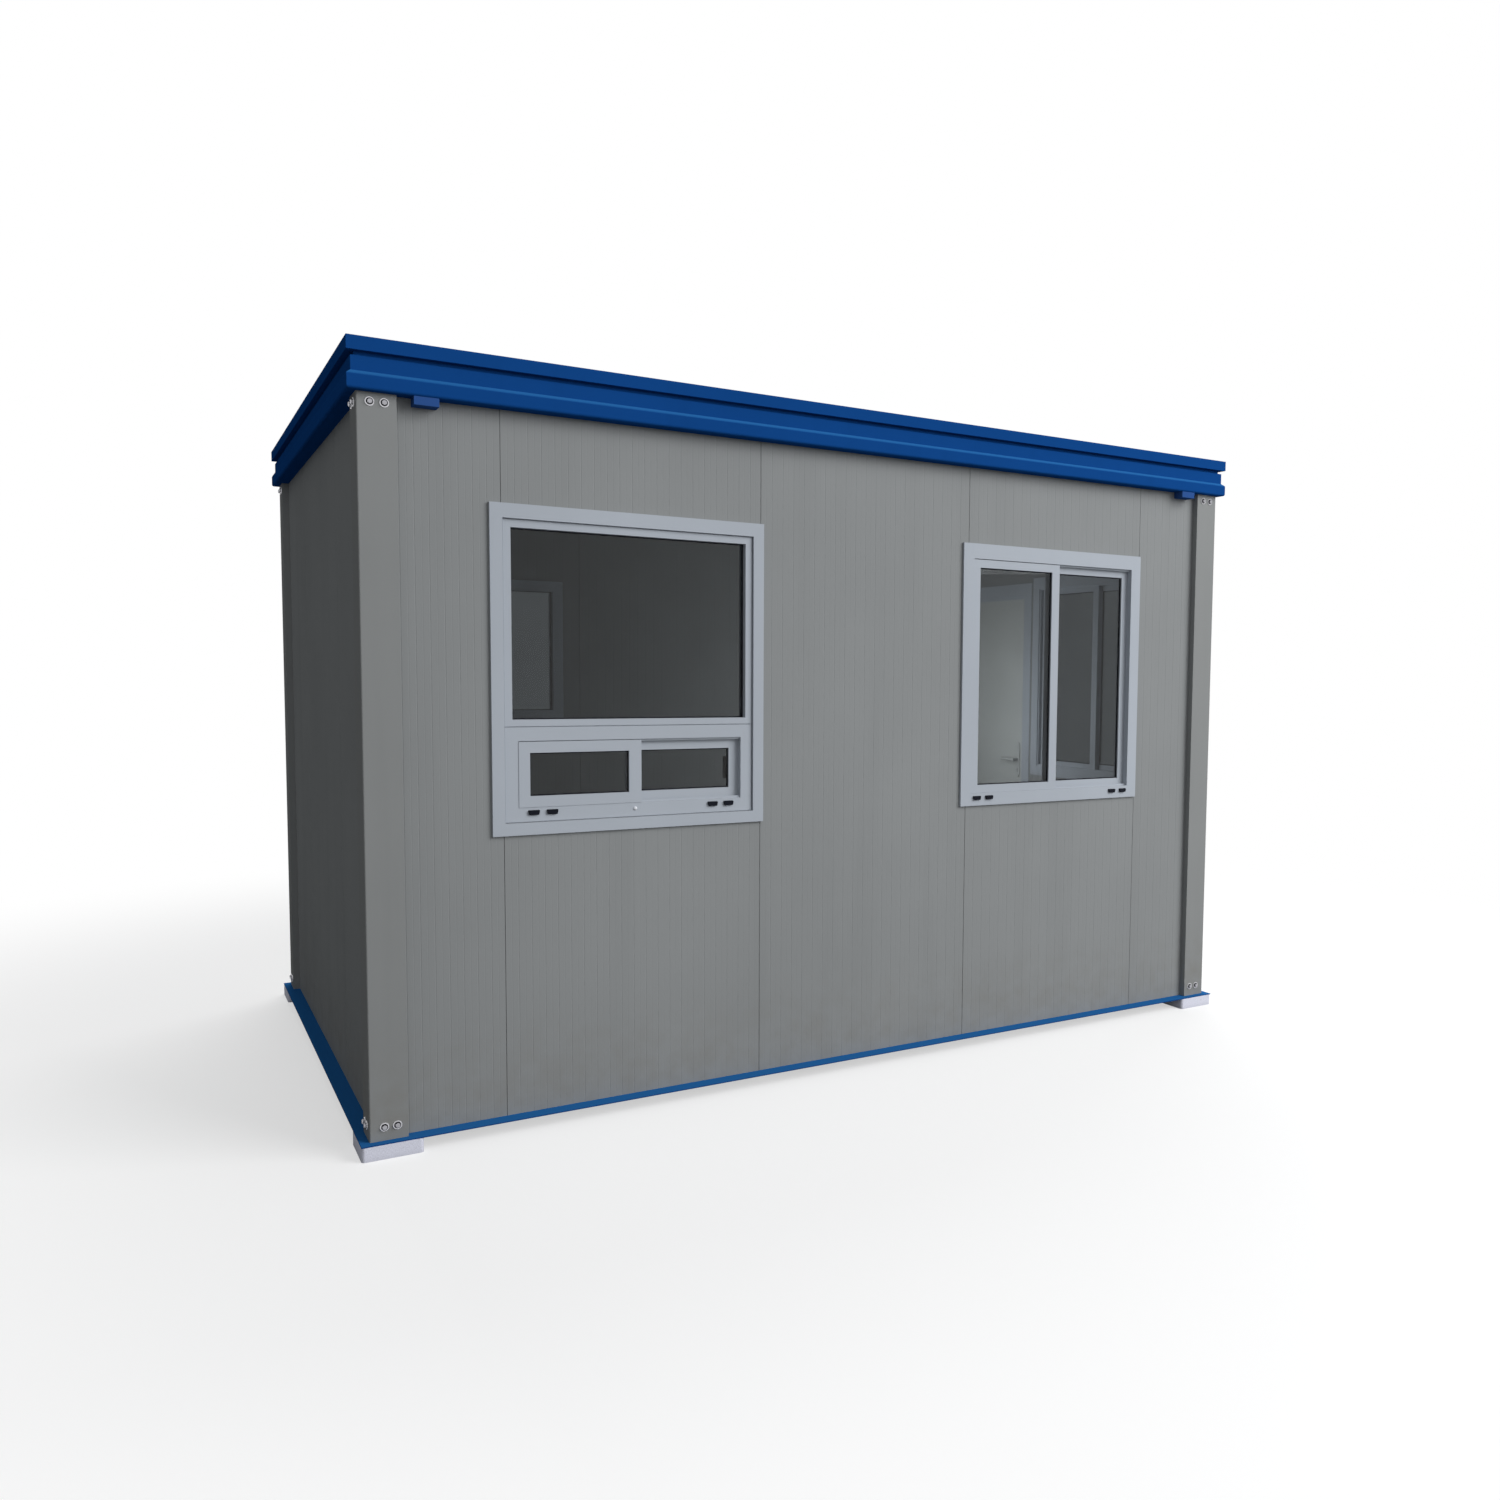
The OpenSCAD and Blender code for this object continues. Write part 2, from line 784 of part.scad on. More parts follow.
module sliding_window_sashes() {
    color(trim_white)
        on_wall(FRONT) translate([slider_middle, 0, 0]) slider_pair(false);
}

module end_window_frame() {
    color(trim_white)
        on_wall(RIGHT) translate([end_middle, 0, 0]) slider_frame();
}

module end_window_sashes() {
    color(trim_white)
        on_wall(RIGHT) translate([end_middle, 0, 0]) slider_pair(false);
}

// ---- counter window: a fixed pane over a sliding hatch ----

module counter_window_frame() {
    body = counter_width / 2 - counter_overlap - fit;
    groove = glass_thickness / 2 + fit;
    inner_low = counter_low + counter_trim;
    inner_high = counter_high - counter_head;
    color(trim_white)
        on_wall(FRONT) translate([counter_middle, 0, 0]) {
            rails(hatch_half, hatch_low, hatch_high, hatch_track);
            difference() {
                union() {
                    ring(counter_width / 2, counter_low, counter_high,
                        counter_trim, counter_trim, counter_head, wall_face - trim_proud, wall_face);
                    block([-counter_inner_half - eps, counter_inner_half + eps], [step_face, wall_face + eps],
                        [inner_low - eps, inner_high + eps]);
                    block([window_shift - body, window_shift + body], [wall_face - eps, wall_back + eps],
                        [counter_low + counter_overlap + fit, counter_high - counter_overlap - fit]);
                    ring(counter_width / 2, counter_low, counter_high,
                        counter_trim, counter_trim, counter_head, wall_back, wall_back + inner_trim);
                }
                block([-fixed_half, fixed_half], [step_face - eps, wall_back + 2 * eps],
                    [fixed_low, fixed_high]);
                block([-fixed_half - glass_bite - fit, fixed_half + glass_bite + fit],
                    [fixed_pane_y - groove, fixed_pane_y + groove],
                    [fixed_low - glass_bite - fit, fixed_high + glass_bite + fit]);
                block([-hatch_half, hatch_half],
                    [step_face - eps, hatch_track + track_pitch + sash_thickness + fit],
                    [hatch_low, hatch_high]);
                block([track_stop - hatch_half, hatch_half - track_stop], [step_face, wall_back + 2 * eps],
                    [hatch_low + track_stop, hatch_high - track_stop]);
                // shadow lines: inside the trim, and between the fixed pane and the hatch
                ring(counter_inner_half, inner_low, inner_high, shadow_line, shadow_line, shadow_line,
                    step_face - eps, step_face + shadow_depth);
                block([-counter_inner_half, counter_inner_half], [step_face - eps, step_face + shadow_depth],
                    [fixed_low - fixed_member - shadow_line, fixed_low - fixed_member]);
            }
        }
}

module hatch_sashes() {
    color(trim_white)
        on_wall(FRONT) translate([counter_middle, 0, 0])
            pair(2 * hatch_half, hatch_low, hatch_sash_height, hatch_bar, hatch_track, false);
}

module counter_window_glass() {
    color(glass_tint)
        on_wall(FRONT) translate([counter_middle, 0, 0]) {
            block([-fixed_half - glass_bite, fixed_half + glass_bite],
                [fixed_pane_y - glass_thickness / 2, fixed_pane_y + glass_thickness / 2],
                [fixed_low - glass_bite, fixed_high + glass_bite]);
            pair(2 * hatch_half, hatch_low, hatch_sash_height, hatch_bar, hatch_track, true);
        }
}

// ---- back window ----

module back_window_frame() {
    groove = glass_thickness / 2 + fit;
    color(trim_white)
        on_wall(BACK) translate([back_window_middle, 0, 0])
            difference() {
                clamped_frame(back_window_width / 2, back_low, back_high, back_overlap, back_band, back_band);
                block([back_band - glass_bite - fit - back_window_width / 2,
                       back_window_width / 2 - back_band + glass_bite + fit],
                    [back_pane_y - groove, back_pane_y + groove],
                    [back_low + back_band - glass_bite - fit, back_high - back_band + glass_bite + fit]);
            }
}

module window_glass() {
    color(glass_tint) {
        on_wall(FRONT) translate([slider_middle, 0, 0]) slider_pair(true);
        on_wall(RIGHT) translate([end_middle, 0, 0]) slider_pair(true);
        on_wall(BACK) translate([back_window_middle, 0, 0])
            block([back_band - glass_bite - back_window_width / 2,
                   back_window_width / 2 - back_band + glass_bite],
                [back_pane_y - glass_thickness / 2, back_pane_y + glass_thickness / 2],
                [back_low + back_band - glass_bite, back_high - back_band + glass_bite]);
    }
}

// ---- door ----

module door_frame() {
    front = wall_face - door_frame_proud;
    back = wall_back + door_frame_proud;
    color(trim_white)
        on_wall(RIGHT)
            difference() {
                union() {
                    block([door_hole_from + fit, door_hole_to - fit], [front, wall_back],
                        [ledge_z, door_hole_high - fit]);
                    block([door_hole_from - door_cover, door_hole_to + door_cover], [front, wall_face],
                        [ledge_z, door_hole_high + door_cover]);
                    block([door_hole_from - door_cover, door_hole_to + door_cover], [wall_back, back],
                        [floor_z, door_hole_high + door_cover]);
                }
                block([door_left - door_gap, door_right + door_gap],
                    [front - eps, door_back + door_gap],
                    [door_low - door_gap, door_high + door_gap]);
                block([door_left - door_gap + door_stop, door_right + door_gap - door_stop],
                    [wall_face, back + eps],
                    [door_low - door_gap, door_high + door_gap - door_stop]);
            }
}

module door_leaf() {
    color(panel_grey)
        on_wall(RIGHT)
            block([door_left, door_right], [door_face, door_back], [door_low, door_high]);
}

// Lower half barrels on the frame with their pins
module door_hinge_pins() {
    seat = wall_face - door_frame_proud - hinge_y;
    color(zinc_grey)
        on_wall(RIGHT)
            for (z = hinge_heights)
                translate([hinge_x, hinge_y, z]) {
                    cylinder(r = barrel_radius, h = barrel_height, $fn = circle_faces);
                    cylinder(r = pin_radius, h = 1.8 * barrel_height, $fn = circle_faces);
                    block([0, hinge_plate], [seat - hinge_sheet, seat],
                        [hinge_sheet, barrel_height - hinge_sheet]);
                }
}

// Upper half barrels on the leaf, each with a cranked plate
module leaf_barrels() {
    seat = door_face - hinge_y;
    crank = 4;
    for (z = hinge_heights)
        translate([hinge_x, hinge_y, z + barrel_height + fit])
            difference() {
                union() {
                    cylinder(r = barrel_radius, h = barrel_height, $fn = circle_faces);
                    block([-hinge_plate, -crank], [seat - hinge_sheet, seat],
                        [hinge_sheet, barrel_height - hinge_sheet]);
                    block([-crank - hinge_sheet, -crank], [0, seat],
                        [hinge_sheet, barrel_height - hinge_sheet]);
                }
                translate([0, 0, -eps])
                    cylinder(r = pin_radius + 0.1, h = 0.85 * barrel_height, $fn = circle_faces);
            }
}

// Lever and lock cylinder on their back plate, standing out toward -y
module lever() {
    reach = 46;
    rotate([90, 0, 0]) {
        linear_extrude(6)
            lever_plate();
        translate([0, -60, 0])
            cylinder(r = 8.5, h = 10, $fn = circle_faces);
        cylinder(r = 9, h = reach, $fn = circle_faces);
    }
    translate([0, 8 - reach, 0])
        rotate([0, 90, 0])
            cylinder(r = 8, h = 118, $fn = circle_faces);
}

module lever_plate() {
    square([36, 170], center = true);
    for (s = [-1, 1])
        translate([0, s * 85])
            circle(18, $fn = circle_faces);
}

module door_fittings() {
    color("dimgray")
        on_wall(RIGHT) {
            translate([lever_x, door_face, lever_z]) lever();
            translate([lever_x, door_back, lever_z]) mirror([0, 1, 0]) lever();
            leaf_barrels();
        }
}

corner_pads();
base_rail(FRONT);  // base_frame_front
base_rail(BACK);  // base_frame_back
base_rail(LEFT);  // base_frame_left
base_rail(RIGHT);  // base_frame_right
floor_joist_set();
floor_deck();
post(-1, -1);  // post_front_left
post(1, -1);  // post_front_right
post(-1, 1);  // post_back_left
post(1, 1);  // post_back_right
front_panel_left();
front_panels_below_windows();
front_panels_above_windows();
front_panel_middle();
front_panel_right();
back_panels();
back_panel_with_window();
left_wall_panels();
right_panel_front();
right_panels_at_window();
right_panel_at_lock();
right_panel_over_door();
right_panel_at_hinges();
roof_rail(FRONT);  // roof_frame_front
roof_rail(BACK);  // roof_frame_back
roof_rail(LEFT);  // roof_frame_left
roof_rail(RIGHT);  // roof_frame_right
roof_joist_set();
roof_sheet();
ceiling();
lifting_lugs();
counter_window_frame();
counter_window_glass();
hatch_sashes();
sliding_window_frame();
sliding_window_sashes();
end_window_frame();
end_window_sashes();
window_glass();
back_window_frame();
door_frame();
door_hinge_pins();
door_leaf();
door_fittings();
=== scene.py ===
import json
import math

import bpy
import numpy as np
from mathutils import Matrix, Vector


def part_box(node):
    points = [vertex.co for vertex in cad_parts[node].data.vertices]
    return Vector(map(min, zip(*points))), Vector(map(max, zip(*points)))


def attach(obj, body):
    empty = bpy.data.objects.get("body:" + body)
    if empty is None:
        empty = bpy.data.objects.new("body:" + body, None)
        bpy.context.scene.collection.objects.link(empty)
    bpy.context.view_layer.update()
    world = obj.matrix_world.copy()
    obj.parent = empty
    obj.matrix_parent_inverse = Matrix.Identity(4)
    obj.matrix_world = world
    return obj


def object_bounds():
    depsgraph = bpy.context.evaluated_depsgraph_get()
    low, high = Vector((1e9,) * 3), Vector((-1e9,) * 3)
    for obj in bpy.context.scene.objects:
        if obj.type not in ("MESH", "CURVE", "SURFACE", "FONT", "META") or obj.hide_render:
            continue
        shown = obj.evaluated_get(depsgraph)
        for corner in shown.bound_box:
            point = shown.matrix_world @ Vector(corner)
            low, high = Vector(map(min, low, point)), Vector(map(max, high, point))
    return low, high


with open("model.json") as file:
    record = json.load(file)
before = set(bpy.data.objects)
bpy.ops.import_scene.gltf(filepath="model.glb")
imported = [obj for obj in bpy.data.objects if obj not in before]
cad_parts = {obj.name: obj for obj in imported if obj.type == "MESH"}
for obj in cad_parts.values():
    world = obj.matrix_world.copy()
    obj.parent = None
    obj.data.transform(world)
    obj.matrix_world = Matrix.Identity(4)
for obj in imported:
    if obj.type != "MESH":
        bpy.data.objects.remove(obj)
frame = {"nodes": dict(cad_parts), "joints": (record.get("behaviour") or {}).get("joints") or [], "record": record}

cadLow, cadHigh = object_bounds()
body = "cabin"
doorBody = frame["joints"][0]["child"]
halfLength = cadHigh.x
halfWidth = cadHigh.y
leafInside = float(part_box("door_leaf")[0].x)       # room face of the door leaf
print("stage: frame loaded")

cameraSettings = {
    "place": (-2.5967, -5.5164, 1.644),
    "turnDegrees": 31.86,       # from +Y towards +X
    "downDegrees": 3.90,
    "rollDegrees": 0.605,
    "sensorWidth": 36,
    "lens": 29.0,
    "shift": (-0.0919, 0.0060),
    "farLimit": 200,
}


def makeCamera(c):
    data = bpy.data.cameras.new("camera")
    data.sensor_width = c["sensorWidth"]
    data.lens = c["lens"]
    data.shift_x, data.shift_y = c["shift"]
    data.clip_end = c["farLimit"]
    camera = bpy.data.objects.new("camera", data)
    turn = Matrix.Rotation(-math.radians(c["turnDegrees"]), 4, "Z")
    tilt = Matrix.Rotation(math.radians(90 - c["downDegrees"]), 4, "X")
    roll = Matrix.Rotation(math.radians(c["rollDegrees"]), 4, "Z")
    camera.matrix_world = Matrix.Translation(c["place"]) @ turn @ tilt @ roll
    bpy.context.scene.collection.objects.link(camera)
    bpy.context.scene.camera = camera


makeCamera(cameraSettings)

lightSettings = {
    "skyFront": 0.56,           # the sky is brighter in front of the cabin than behind it
    "skyBack": 0.12,
    "skyTurn": (0.5, -0.7),     # Y of the way looked along, where the back's sky ends and the front's begins
    "skyColour": (0.96, 0.98, 1.0),
    "keyPlace": (8.5, -10.8, 7.8),
    "keyAim": (0.0, -1.25, 1.3),
    "keySize": 10.0,
    "keyPower": 1950,
    "backStrength": 2.2,
    "backFrom": (0.45, 0.75, 0.55),
    "backAngle": 60,
    "roomPlace": (1.15, 0.15, 1.35),     # a weak soft lamp that fills the room, seen only by what it lights
    "roomRadius": 0.45,
    "roomPower": 37,
}

floorSettings = {
    "size": 60.0,
    "drop": 0.0005,             # how far it lies below the pads
    "seenColour": 0.45,
    "seenGlow": 0.55,
    "bounceColour": 0.20,
    "fade": (3.0, 6.0),         # between these distances the floor turns into plain white backdrop
}


# A lamp's own -Z looks along the way from its place to what it lights
def addKey(s):
    data = bpy.data.lights.new("keyLight", "AREA")
    data.energy = s["keyPower"]
    data.size = s["keySize"]
    lamp = bpy.data.objects.new("keyLight", data)
    lamp.location = s["keyPlace"]
    lamp.rotation_mode = "QUATERNION"
    lamp.rotation_quaternion = (Vector(s["keyPlace"]) - Vector(s["keyAim"])).to_track_quat("Z", "Y")
    lamp.visible_camera = lamp.visible_glossy = False
    bpy.context.scene.collection.objects.link(lamp)


def addSun(s):
    data = bpy.data.lights.new("backLight", "SUN")
    data.energy = s["backStrength"]
    data.angle = math.radians(s["backAngle"])
    sun = bpy.data.objects.new("backLight", data)
    sun.rotation_mode = "QUATERNION"
    sun.visible_camera = sun.visible_glossy = sun.visible_transmission = False
    sun.rotation_quaternion = Vector(s["backFrom"]).to_track_quat("Z", "Y")
    bpy.context.scene.collection.objects.link(sun)


def addRoomLamp(s):
    data = bpy.data.lights.new("roomLight", "POINT")
    data.energy = s["roomPower"]
    data.shadow_soft_size = s["roomRadius"]
    lamp = bpy.data.objects.new("roomLight", data)
    lamp.location = s["roomPlace"]
    lamp.visible_camera = lamp.visible_glossy = lamp.visible_transmission = False
    bpy.context.scene.collection.objects.link(lamp)


# A node with its own properties and the values of some of its inputs
def addNode(tree, kind, inputs=None, **properties):
    node = tree.nodes.new(kind)
    for name, value in properties.items():
        setattr(node, name, value)
    for name, value in (inputs or {}).items():
        node.inputs[name].default_value = value
    return node


# 1 for a camera, glossy or transmission ray, so that mirrors and panes show the same backdrop
def seenRay(tree):
    path = addNode(tree, "ShaderNodeLightPath")
    first = addNode(tree, "ShaderNodeMath", operation="MAXIMUM")
    second = addNode(tree, "ShaderNodeMath", operation="MAXIMUM")
    tree.links.new(path.outputs["Is Camera Ray"], first.inputs[0])
    tree.links.new(path.outputs["Is Glossy Ray"], first.inputs[1])
    tree.links.new(first.outputs[0], second.inputs[0])
    tree.links.new(path.outputs["Is Transmission Ray"], second.inputs[1])
    return second.outputs[0]


# The value carried from one span to another and held at its ends
def remap(tree, value, span, toLow=0.0, toHigh=1.0, curve="LINEAR"):
    ends = {"From Min": span[0], "From Max": span[1], "To Min": toLow, "To Max": toHigh}
    node = addNode(tree, "ShaderNodeMapRange", ends, interpolation_type=curve)
    tree.links.new(value, node.inputs["Value"])
    return node.outputs[0]


def axisSocket(tree, coords, axis):
    node = addNode(tree, "ShaderNodeSeparateXYZ")
    tree.links.new(coords, node.inputs[0])
    return node.outputs[axis]


def mixShaders(tree, factor, first, second):
    mix = addNode(tree, "ShaderNodeMixShader")
    for given, socket in zip((factor, first, second), mix.inputs):
        tree.links.new(given, socket)
    return mix.outputs[0]


def makeLight(s):
    world = bpy.data.worlds.new("studio")
    bpy.context.scene.world = world
    world.use_nodes = True
    tree = world.node_tree
    tree.nodes.clear()
    coords = addNode(tree, "ShaderNodeTexCoord")
    sky = addNode(tree, "ShaderNodeBackground", {"Color": (*s["skyColour"], 1)})
    backdrop = addNode(tree, "ShaderNodeBackground", {"Color": (1, 1, 1, 1), "Strength": 1.0})
    out = addNode(tree, "ShaderNodeOutputWorld")
    way = axisSocket(tree, coords.outputs["Generated"], "Y")
    strength = remap(tree, way, s["skyTurn"], s["skyBack"], s["skyFront"], "SMOOTHSTEP")
    tree.links.new(strength, sky.inputs["Strength"])
    tree.links.new(mixShaders(tree, seenRay(tree), sky.outputs[0], backdrop.outputs[0]), out.inputs[0])
    addKey(s)
    addSun(s)
    addRoomLamp(s)


# Pale diffuse floor with a little glow near the cabin and plain white light further out, and a darker grey
# for bounced light
def makeFloor(s):
    half = s["size"] / 2
    corners = [(-half, -half, 0), (half, -half, 0), (half, half, 0), (-half, half, 0)]
    mesh = bpy.data.meshes.new("studioFloor")
    mesh.from_pydata(corners, [], [(0, 1, 2, 3)])
    floor = bpy.data.objects.new("studioFloor", mesh)
    bpy.context.scene.collection.objects.link(floor)
    floor.location.z = -s["drop"]
    material = bpy.data.materials.new("studioFloor")
    material.use_nodes = True
    tree = material.node_tree
    tree.nodes.clear()
    shown = addNode(tree, "ShaderNodeBsdfDiffuse", {"Color": (s["seenColour"],) * 3 + (1,)})
    glow = addNode(tree, "ShaderNodeEmission", {"Strength": s["seenGlow"]})
    near = addNode(tree, "ShaderNodeAddShader")
    far = addNode(tree, "ShaderNodeEmission", {"Strength": 1.0})
    bounce = addNode(tree, "ShaderNodeBsdfDiffuse", {"Color": (s["bounceColour"],) * 3 + (1,)})
    coords = addNode(tree, "ShaderNodeTexCoord")
    distance = addNode(tree, "ShaderNodeVectorMath", operation="LENGTH")
    out = addNode(tree, "ShaderNodeOutputMaterial")
    tree.links.new(shown.outputs[0], near.inputs[0])
    tree.links.new(glow.outputs[0], near.inputs[1])
    tree.links.new(coords.outputs["Object"], distance.inputs[0])
    fade = remap(tree, distance.outputs["Value"], s["fade"], curve="SMOOTHSTEP")
    seen = mixShaders(tree, fade, near.outputs[0], far.outputs[0])
    tree.links.new(mixShaders(tree, seenRay(tree), bounce.outputs[0], seen), out.inputs[0])
    mesh.materials.append(material)


makeLight(lightSettings)
makeFloor(floorSettings)
bpy.context.scene.view_settings.view_transform = "Standard"
print("stage: camera, light and floor made")


def startMaterial(name, roughness, metallic=0.0, specular=0.5):
    material = bpy.data.materials.new(name)
    material.use_nodes = True
    tree = material.node_tree
    shader = tree.nodes["Principled BSDF"]
    shader.inputs["Roughness"].default_value = roughness
    shader.inputs["Metallic"].default_value = metallic
    shader.inputs["Specular IOR Level"].default_value = specular
    coords = addNode(tree, "ShaderNodeTexCoord")
    return material, tree, shader, coords.outputs["Object"]


# Noise on Object coordinates, drawn out along an axis by the stretch factors
def addNoise(tree, coords, scale, detail, stretch=(1, 1, 1)):
    mapping = addNode(tree, "ShaderNodeMapping", {"Scale": stretch})
    noise = addNode(tree, "ShaderNodeTexNoise", {"Scale": scale, "Detail": detail})
    tree.links.new(coords, mapping.inputs["Vector"])
    tree.links.new(mapping.outputs[0], noise.inputs["Vector"])
    return noise.outputs["Fac"]


def multiply(tree, a, b):
    node = addNode(tree, "ShaderNodeMath", operation="MULTIPLY")
    tree.links.new(a, node.inputs[0])
    tree.links.new(b, node.inputs[1])
    return node.outputs[0]


# From the first colour to the second as the factor goes from 0 to 1; each may be a socket or three numbers
def blendColours(tree, factor, first, second):
    node = addNode(tree, "ShaderNodeMix", data_type="RGBA")
    tree.links.new(factor, node.inputs["Factor"])
    for given, socket in ((first, node.inputs[6]), (second, node.inputs[7])):
        if isinstance(given, tuple):
            socket.default_value = (*given, 1)
        else:
            tree.links.new(given, socket)
    return node.outputs[2]


def addBump(tree, shader, height, strength, distance):
    node = addNode(tree, "ShaderNodeBump", {"Strength": strength, "Distance": distance})
    tree.links.new(height, node.inputs["Height"])
    tree.links.new(node.outputs[0], shader.inputs["Normal"])


def scaled(colour, factor):
    return tuple(c * factor for c in colour)


noiseSpan = (0.3, 0.7)          # most of a noise lies between these values
upSpan = (0.10, 0.80)           # Z of a face's normal, where it begins and ends to look up


# Soft clouds from 0 to 1
def addClouds(tree, coords, scale):
    return remap(tree, addNoise(tree, coords, scale, detail=3), noiseSpan)


# From the colour times the first tone to the colour times the second, as the clouds go from 0 to 1
def cloudColour(tree, clouds, colour, tones):
    return blendColours(tree, clouds, scaled(colour, tones[0]), scaled(colour, tones[1]))


# 1 on faces that look up, 0 on upright ones
def upFacing(tree):
    geometry = addNode(tree, "ShaderNodeNewGeometry")
    return remap(tree, axisSocket(tree, geometry.outputs["Normal"], "Z"), upSpan)


enamelLook = {
    "cloudScale": 1.3, "cloudTones": (0.96, 1.04),
    "washScale": 9, "washStretch": (1, 1, 0.05), "washSpan": (0.52, 0.75), "washTone": 0.86,
    "dirtLow": 0.05, "dirtScale": 14, "dirtSpan": (0.35, 0.75), "dirtMost": 0.5,
    "polishScale": 6, "polishSpread": (-0.05, 0.07),
    "peelScale": 420, "peelDepth": 0.0004,
}


# Enamel on steel: faint clouds, faint upright wash marks, dust that fades out above dirtTop, a colour on faces
# that look up (painted highlight on the blue and white enamels, dust on the grey ones), fine orange peel
def makeEnamel(name, e):
    look, colour = enamelLook, e["colour"]
    material, tree, shader, coords = startMaterial(name, e["roughness"], specular=e["specular"])
    base = cloudColour(tree, addClouds(tree, coords, look["cloudScale"]), colour, look["cloudTones"])
    streaks = addNoise(tree, coords, look["washScale"], detail=5, stretch=look["washStretch"])
    streaks = remap(tree, streaks, look["washSpan"], 0, e["wash"])
    base = blendColours(tree, streaks, base, scaled(colour, look["washTone"]))
    low = remap(tree, axisSocket(tree, coords, "Z"), (look["dirtLow"], e["dirtTop"]), 1, 0)
    patches = addNoise(tree, coords, look["dirtScale"], detail=6)
    patches = remap(tree, patches, look["dirtSpan"], 0, look["dirtMost"])
    base = blendColours(tree, multiply(tree, low, patches), base, e["dust"])
    # faces that look up take topDustAndHighlight: a painted highlight on the blue and white enamels, dust on the
    # grey ones
    base = blendColours(tree, upFacing(tree), base, e["topDustAndHighlight"])
    tree.links.new(base, shader.inputs["Base Color"])
    polish = [e["roughness"] + spread for spread in look["polishSpread"]]
    rough = remap(tree, addNoise(tree, coords, look["polishScale"], detail=4), noiseSpan, *polish)
    tree.links.new(rough, shader.inputs["Roughness"])
    peel = addNoise(tree, coords, look["peelScale"], detail=2)
    addBump(tree, shader, peel, e["peel"], look["peelDepth"])
    return material


zincLook = {
    "roughness": 0.42, "metallic": 0.85, "cellScale": 70, "cellTones": (0.86, 1.12), "polish": (0.34, 0.52),
    "grainScale": 160, "grainStrength": 0.15, "grainDepth": 0.0005,
}


# Galvanised sheet: spangle in cells of two greys
def makeZinc(name, colour):
    look = zincLook
    material, tree, shader, coords = startMaterial(name, look["roughness"], look["metallic"])
    cells = addNode(tree, "ShaderNodeTexVoronoi", {"Scale": look["cellScale"]})
    tree.links.new(coords, cells.inputs["Vector"])
    grey = addNode(tree, "ShaderNodeSeparateColor")
    tree.links.new(cells.outputs["Color"], grey.inputs[0])
    base = cloudColour(tree, grey.outputs[0], colour, look["cellTones"])
    tree.links.new(base, shader.inputs["Base Color"])
    tree.links.new(remap(tree, grey.outputs[1], (0, 1), *look["polish"]), shader.inputs["Roughness"])
    grain = addNoise(tree, coords, look["grainScale"], detail=3)
    addBump(tree, shader, grain, look["grainStrength"], look["grainDepth"])
    return material


concreteLook = {
    "roughness": 0.88, "specular": 0.3,
    "grainScale": 240, "grainSpan": (0.35, 0.65), "grainTones": (0.90, 1.08),
    "poreScale": 90, "poreSpan": (0.68, 0.76), "poreMost": 0.6, "poreTone": 0.55,
    "groundDarkSpan": (0.0, 0.02), "groundDarkMost": 0.30, "groundDarkTone": 0.68,
    "roughScale": 180, "roughStrength": 0.5, "roughDepth": 0.001,
}


# Cast concrete: sand grain, darker pores, darker towards the ground
def makeConcrete(name, colour):
    look = concreteLook
    material, tree, shader, coords = startMaterial(name, look["roughness"], specular=look["specular"])
    grain = remap(tree, addNoise(tree, coords, look["grainScale"], detail=5), look["grainSpan"])
    base = cloudColour(tree, grain, colour, look["grainTones"])
    pores = addNoise(tree, coords, look["poreScale"], detail=2)
    pores = remap(tree, pores, look["poreSpan"], 0, look["poreMost"])
    base = blendColours(tree, pores, base, scaled(colour, look["poreTone"]))
    nearGround = remap(tree, axisSocket(tree, coords, "Z"), look["groundDarkSpan"], look["groundDarkMost"], 0)
    base = blendColours(tree, nearGround, base, scaled(colour, look["groundDarkTone"]))
    tree.links.new(base, shader.inputs["Base Color"])
    relief = addNoise(tree, coords, look["roughScale"], detail=6)
    addBump(tree, shader, relief, look["roughStrength"], look["roughDepth"])
    return material


glassLook = {
    "refraction": 1.33,
    "tint": (0.30, 0.32, 0.33),
    # shadeTint: painted shade, a darker tint that dims what is seen through the room
    "shadeTint": (0.125, 0.135, 0.140),      # of the panes in the right end and in the back
    "filmScale": 5, "filmSpan": (0.4, 0.8), "filmTone": 0.92,
    "endFrom": leafInside - 0.05,           # X beyond which a pane belongs to the right end
    "backFrom": halfWidth - 0.15,           # Y beyond which a pane belongs to the back
    "turn": 0.01,
}


# Grey-tinted pane with a faint film of dust, darker in the right end and in the back as painted shade on the view
# through
def makeGlass(name):
    look = glassLook
    material, tree, shader, coords = startMaterial(name, 0.0)
    shader.inputs["Transmission Weight"].default_value = 1.0
    shader.inputs["IOR"].default_value = look["refraction"]
    film = remap(tree, addNoise(tree, coords, look["filmScale"], detail=5), look["filmSpan"])
    base = cloudColour(tree, film, look["tint"], (1, look["filmTone"]))
    dark = cloudColour(tree, film, look["shadeTint"], (1, look["filmTone"]))
    for axis, start in (("X", look["endFrom"]), ("Y", look["backFrom"])):
        beyond = remap(tree, axisSocket(tree, coords, axis), (start, start + look["turn"]))
        base = blendColours(tree, beyond, base, dark)
    tree.links.new(base, shader.inputs["Base Color"])
    return material


boardLook = {
    "roughness": 0.62, "specular": 0.3, "cloudScale": 2.0, "cloudTones": (0.93, 1.05),
    "fleckSpan": (0.60, 0.68), "fleckMost": 0.3, "fleckTone": 0.6, "grainStrength": 0.1, "grainDepth": 0.0005,
}


